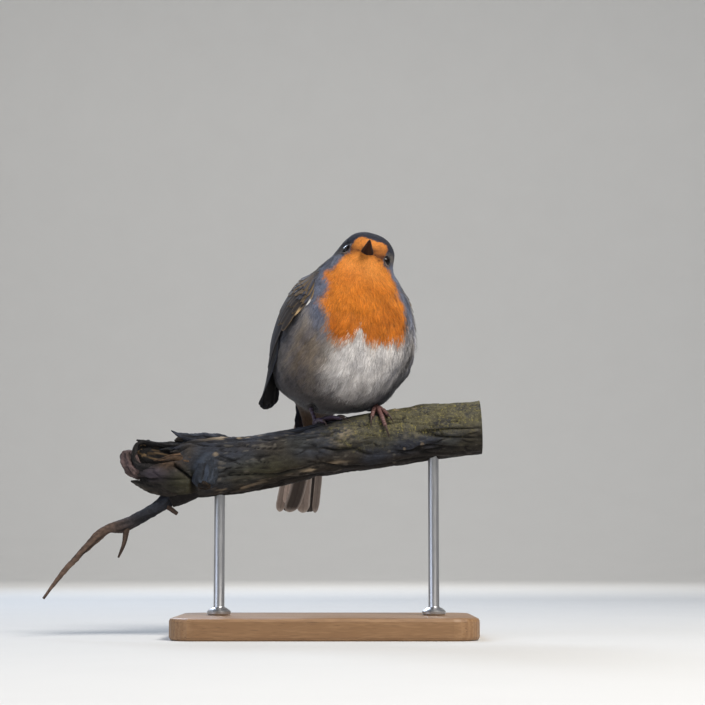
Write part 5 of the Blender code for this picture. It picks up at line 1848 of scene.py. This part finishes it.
class RobinStageSettings(bpy.types.PropertyGroup):
    """What a user would change about the light."""

    key_watts: bpy.props.FloatProperty(
        name="Key light", description="Power of the large light over the front", default=20.0, unit="POWER")
    sky_watts: bpy.props.FloatProperty(
        name="Sky light", description="Power of the cool light from the left", default=5.0, unit="POWER")
    rim_watts: bpy.props.FloatProperty(
        name="Rim light", description="Power of the cool light from behind", default=6.0, unit="POWER")
    backdrop_watts: bpy.props.FloatProperty(
        name="Backdrop light", description="Power of the light on the backdrop", default=9.0, unit="POWER")


class ROBIN_OT_bird_body(bpy.types.Operator):
    """Make the skin and the coat of feathers over it"""

    bl_idname = "robin.bird_body"
    bl_label = "Skin and coat"

    def execute(self, context):
        settings = context.scene.robin_coat
        finish = plumage_finish()
        make_skin(finish)
        density = settings.density * 1.0
        make_coat(finish, density, settings.seed)
        return {"FINISHED"}


class ROBIN_OT_flight_feathers(bpy.types.Operator):
    """Make both folded wings and the tail"""

    bl_idname = "robin.flight_feathers"
    bl_label = "Wings and tail"

    def execute(self, context):
        finish = vane_finish()
        for k, name in enumerate(SIDES):
            make_wing(name, finish, SEEDS["wings"] + k)
        make_tail(finish, SEEDS["tail"])
        return {"FINISHED"}


class ROBIN_OT_face(bpy.types.Operator):
    """Make the eyes with their lids, and the bill with its bristles"""

    bl_idname = "robin.face"
    bl_label = "Eyes and bill"

    def execute(self, context):
        gloss, horn, lid = eye_finish(), horn_finish(), leg_finish()
        for k, side in enumerate(SIDES):
            make_eye(side, gloss)
            make_lids(side, lid, SEEDS["lids"] + k)
        make_bill(horn, SEEDS["bristles"])
        return {"FINISHED"}


class ROBIN_OT_feet(bpy.types.Operator):
    """Make the legs, the toes and the claws"""

    bl_idname = "robin.feet"
    bl_label = "Feet"

    def execute(self, context):
        leg, claw = leg_finish(), horn_finish()
        for k, side in enumerate(SIDES):
            make_foot(side, leg, claw, SEEDS["feet"] + 20 * k)
        return {"FINISHED"}


class ROBIN_OT_perch(bpy.types.Operator):
    """Make the branch and its twig"""

    bl_idname = "robin.perch"
    bl_label = "Branch"

    def execute(self, context):
        finish = bark_finish()
        make_branch(finish)
        make_twig(finish)
        return {"FINISHED"}


class ROBIN_OT_stand(bpy.types.Operator):
    """Make the display stand's wood and rods"""

    bl_idname = "robin.stand"
    bl_label = "Stand"

    def execute(self, context):
        make_stand(wood_finish(), metal_finish())
        return {"FINISHED"}


class ROBIN_OT_stage(bpy.types.Operator):
    """Set up the floor, the lights and the camera"""

    bl_idname = "robin.stage"
    bl_label = "Stage"

    def execute(self, context):
        settings = context.scene.robin_stage
        make_floor()
        make_world()
        for name in LIGHTS:
            make_light(name, getattr(settings, f"{name}_watts"))
        make_camera()
        return {"FINISHED"}


class ROBIN_PT_panel(bpy.types.Panel):
    """Lists the robin's settings and pieces"""

    bl_label = "Robin"
    bl_idname = "ROBIN_PT_panel"
    bl_space_type = "VIEW_3D"
    bl_region_type = "UI"
    bl_category = "Robin"

    def draw(self, context):
        column = self.layout.column()
        for settings in (context.scene.robin_coat, context.scene.robin_stage):
            for name in settings.__annotations__:
                column.prop(settings, name)
        for operator in OPERATORS:
            column.operator(operator.bl_idname)


OPERATORS = (ROBIN_OT_bird_body, ROBIN_OT_flight_feathers, ROBIN_OT_face, ROBIN_OT_feet, ROBIN_OT_perch,
             ROBIN_OT_stand, ROBIN_OT_stage)
CLASSES = (RobinCoatSettings, RobinStageSettings, *OPERATORS, ROBIN_PT_panel)


def register():
    for made in CLASSES:
        bpy.utils.register_class(made)
    bpy.types.Scene.robin_coat = bpy.props.PointerProperty(type=RobinCoatSettings)
    bpy.types.Scene.robin_stage = bpy.props.PointerProperty(type=RobinStageSettings)


def unregister():
    del bpy.types.Scene.robin_stage
    del bpy.types.Scene.robin_coat
    for made in reversed(CLASSES):
        bpy.utils.unregister_class(made)


def main():
    register()
    bpy.ops.robin.bird_body()
    bpy.ops.robin.flight_feathers()
    bpy.ops.robin.face()
    bpy.ops.robin.feet()
    bpy.ops.robin.perch()
    bpy.ops.robin.stand()
    bpy.ops.robin.stage()


if __name__ == "__main__":
    main()
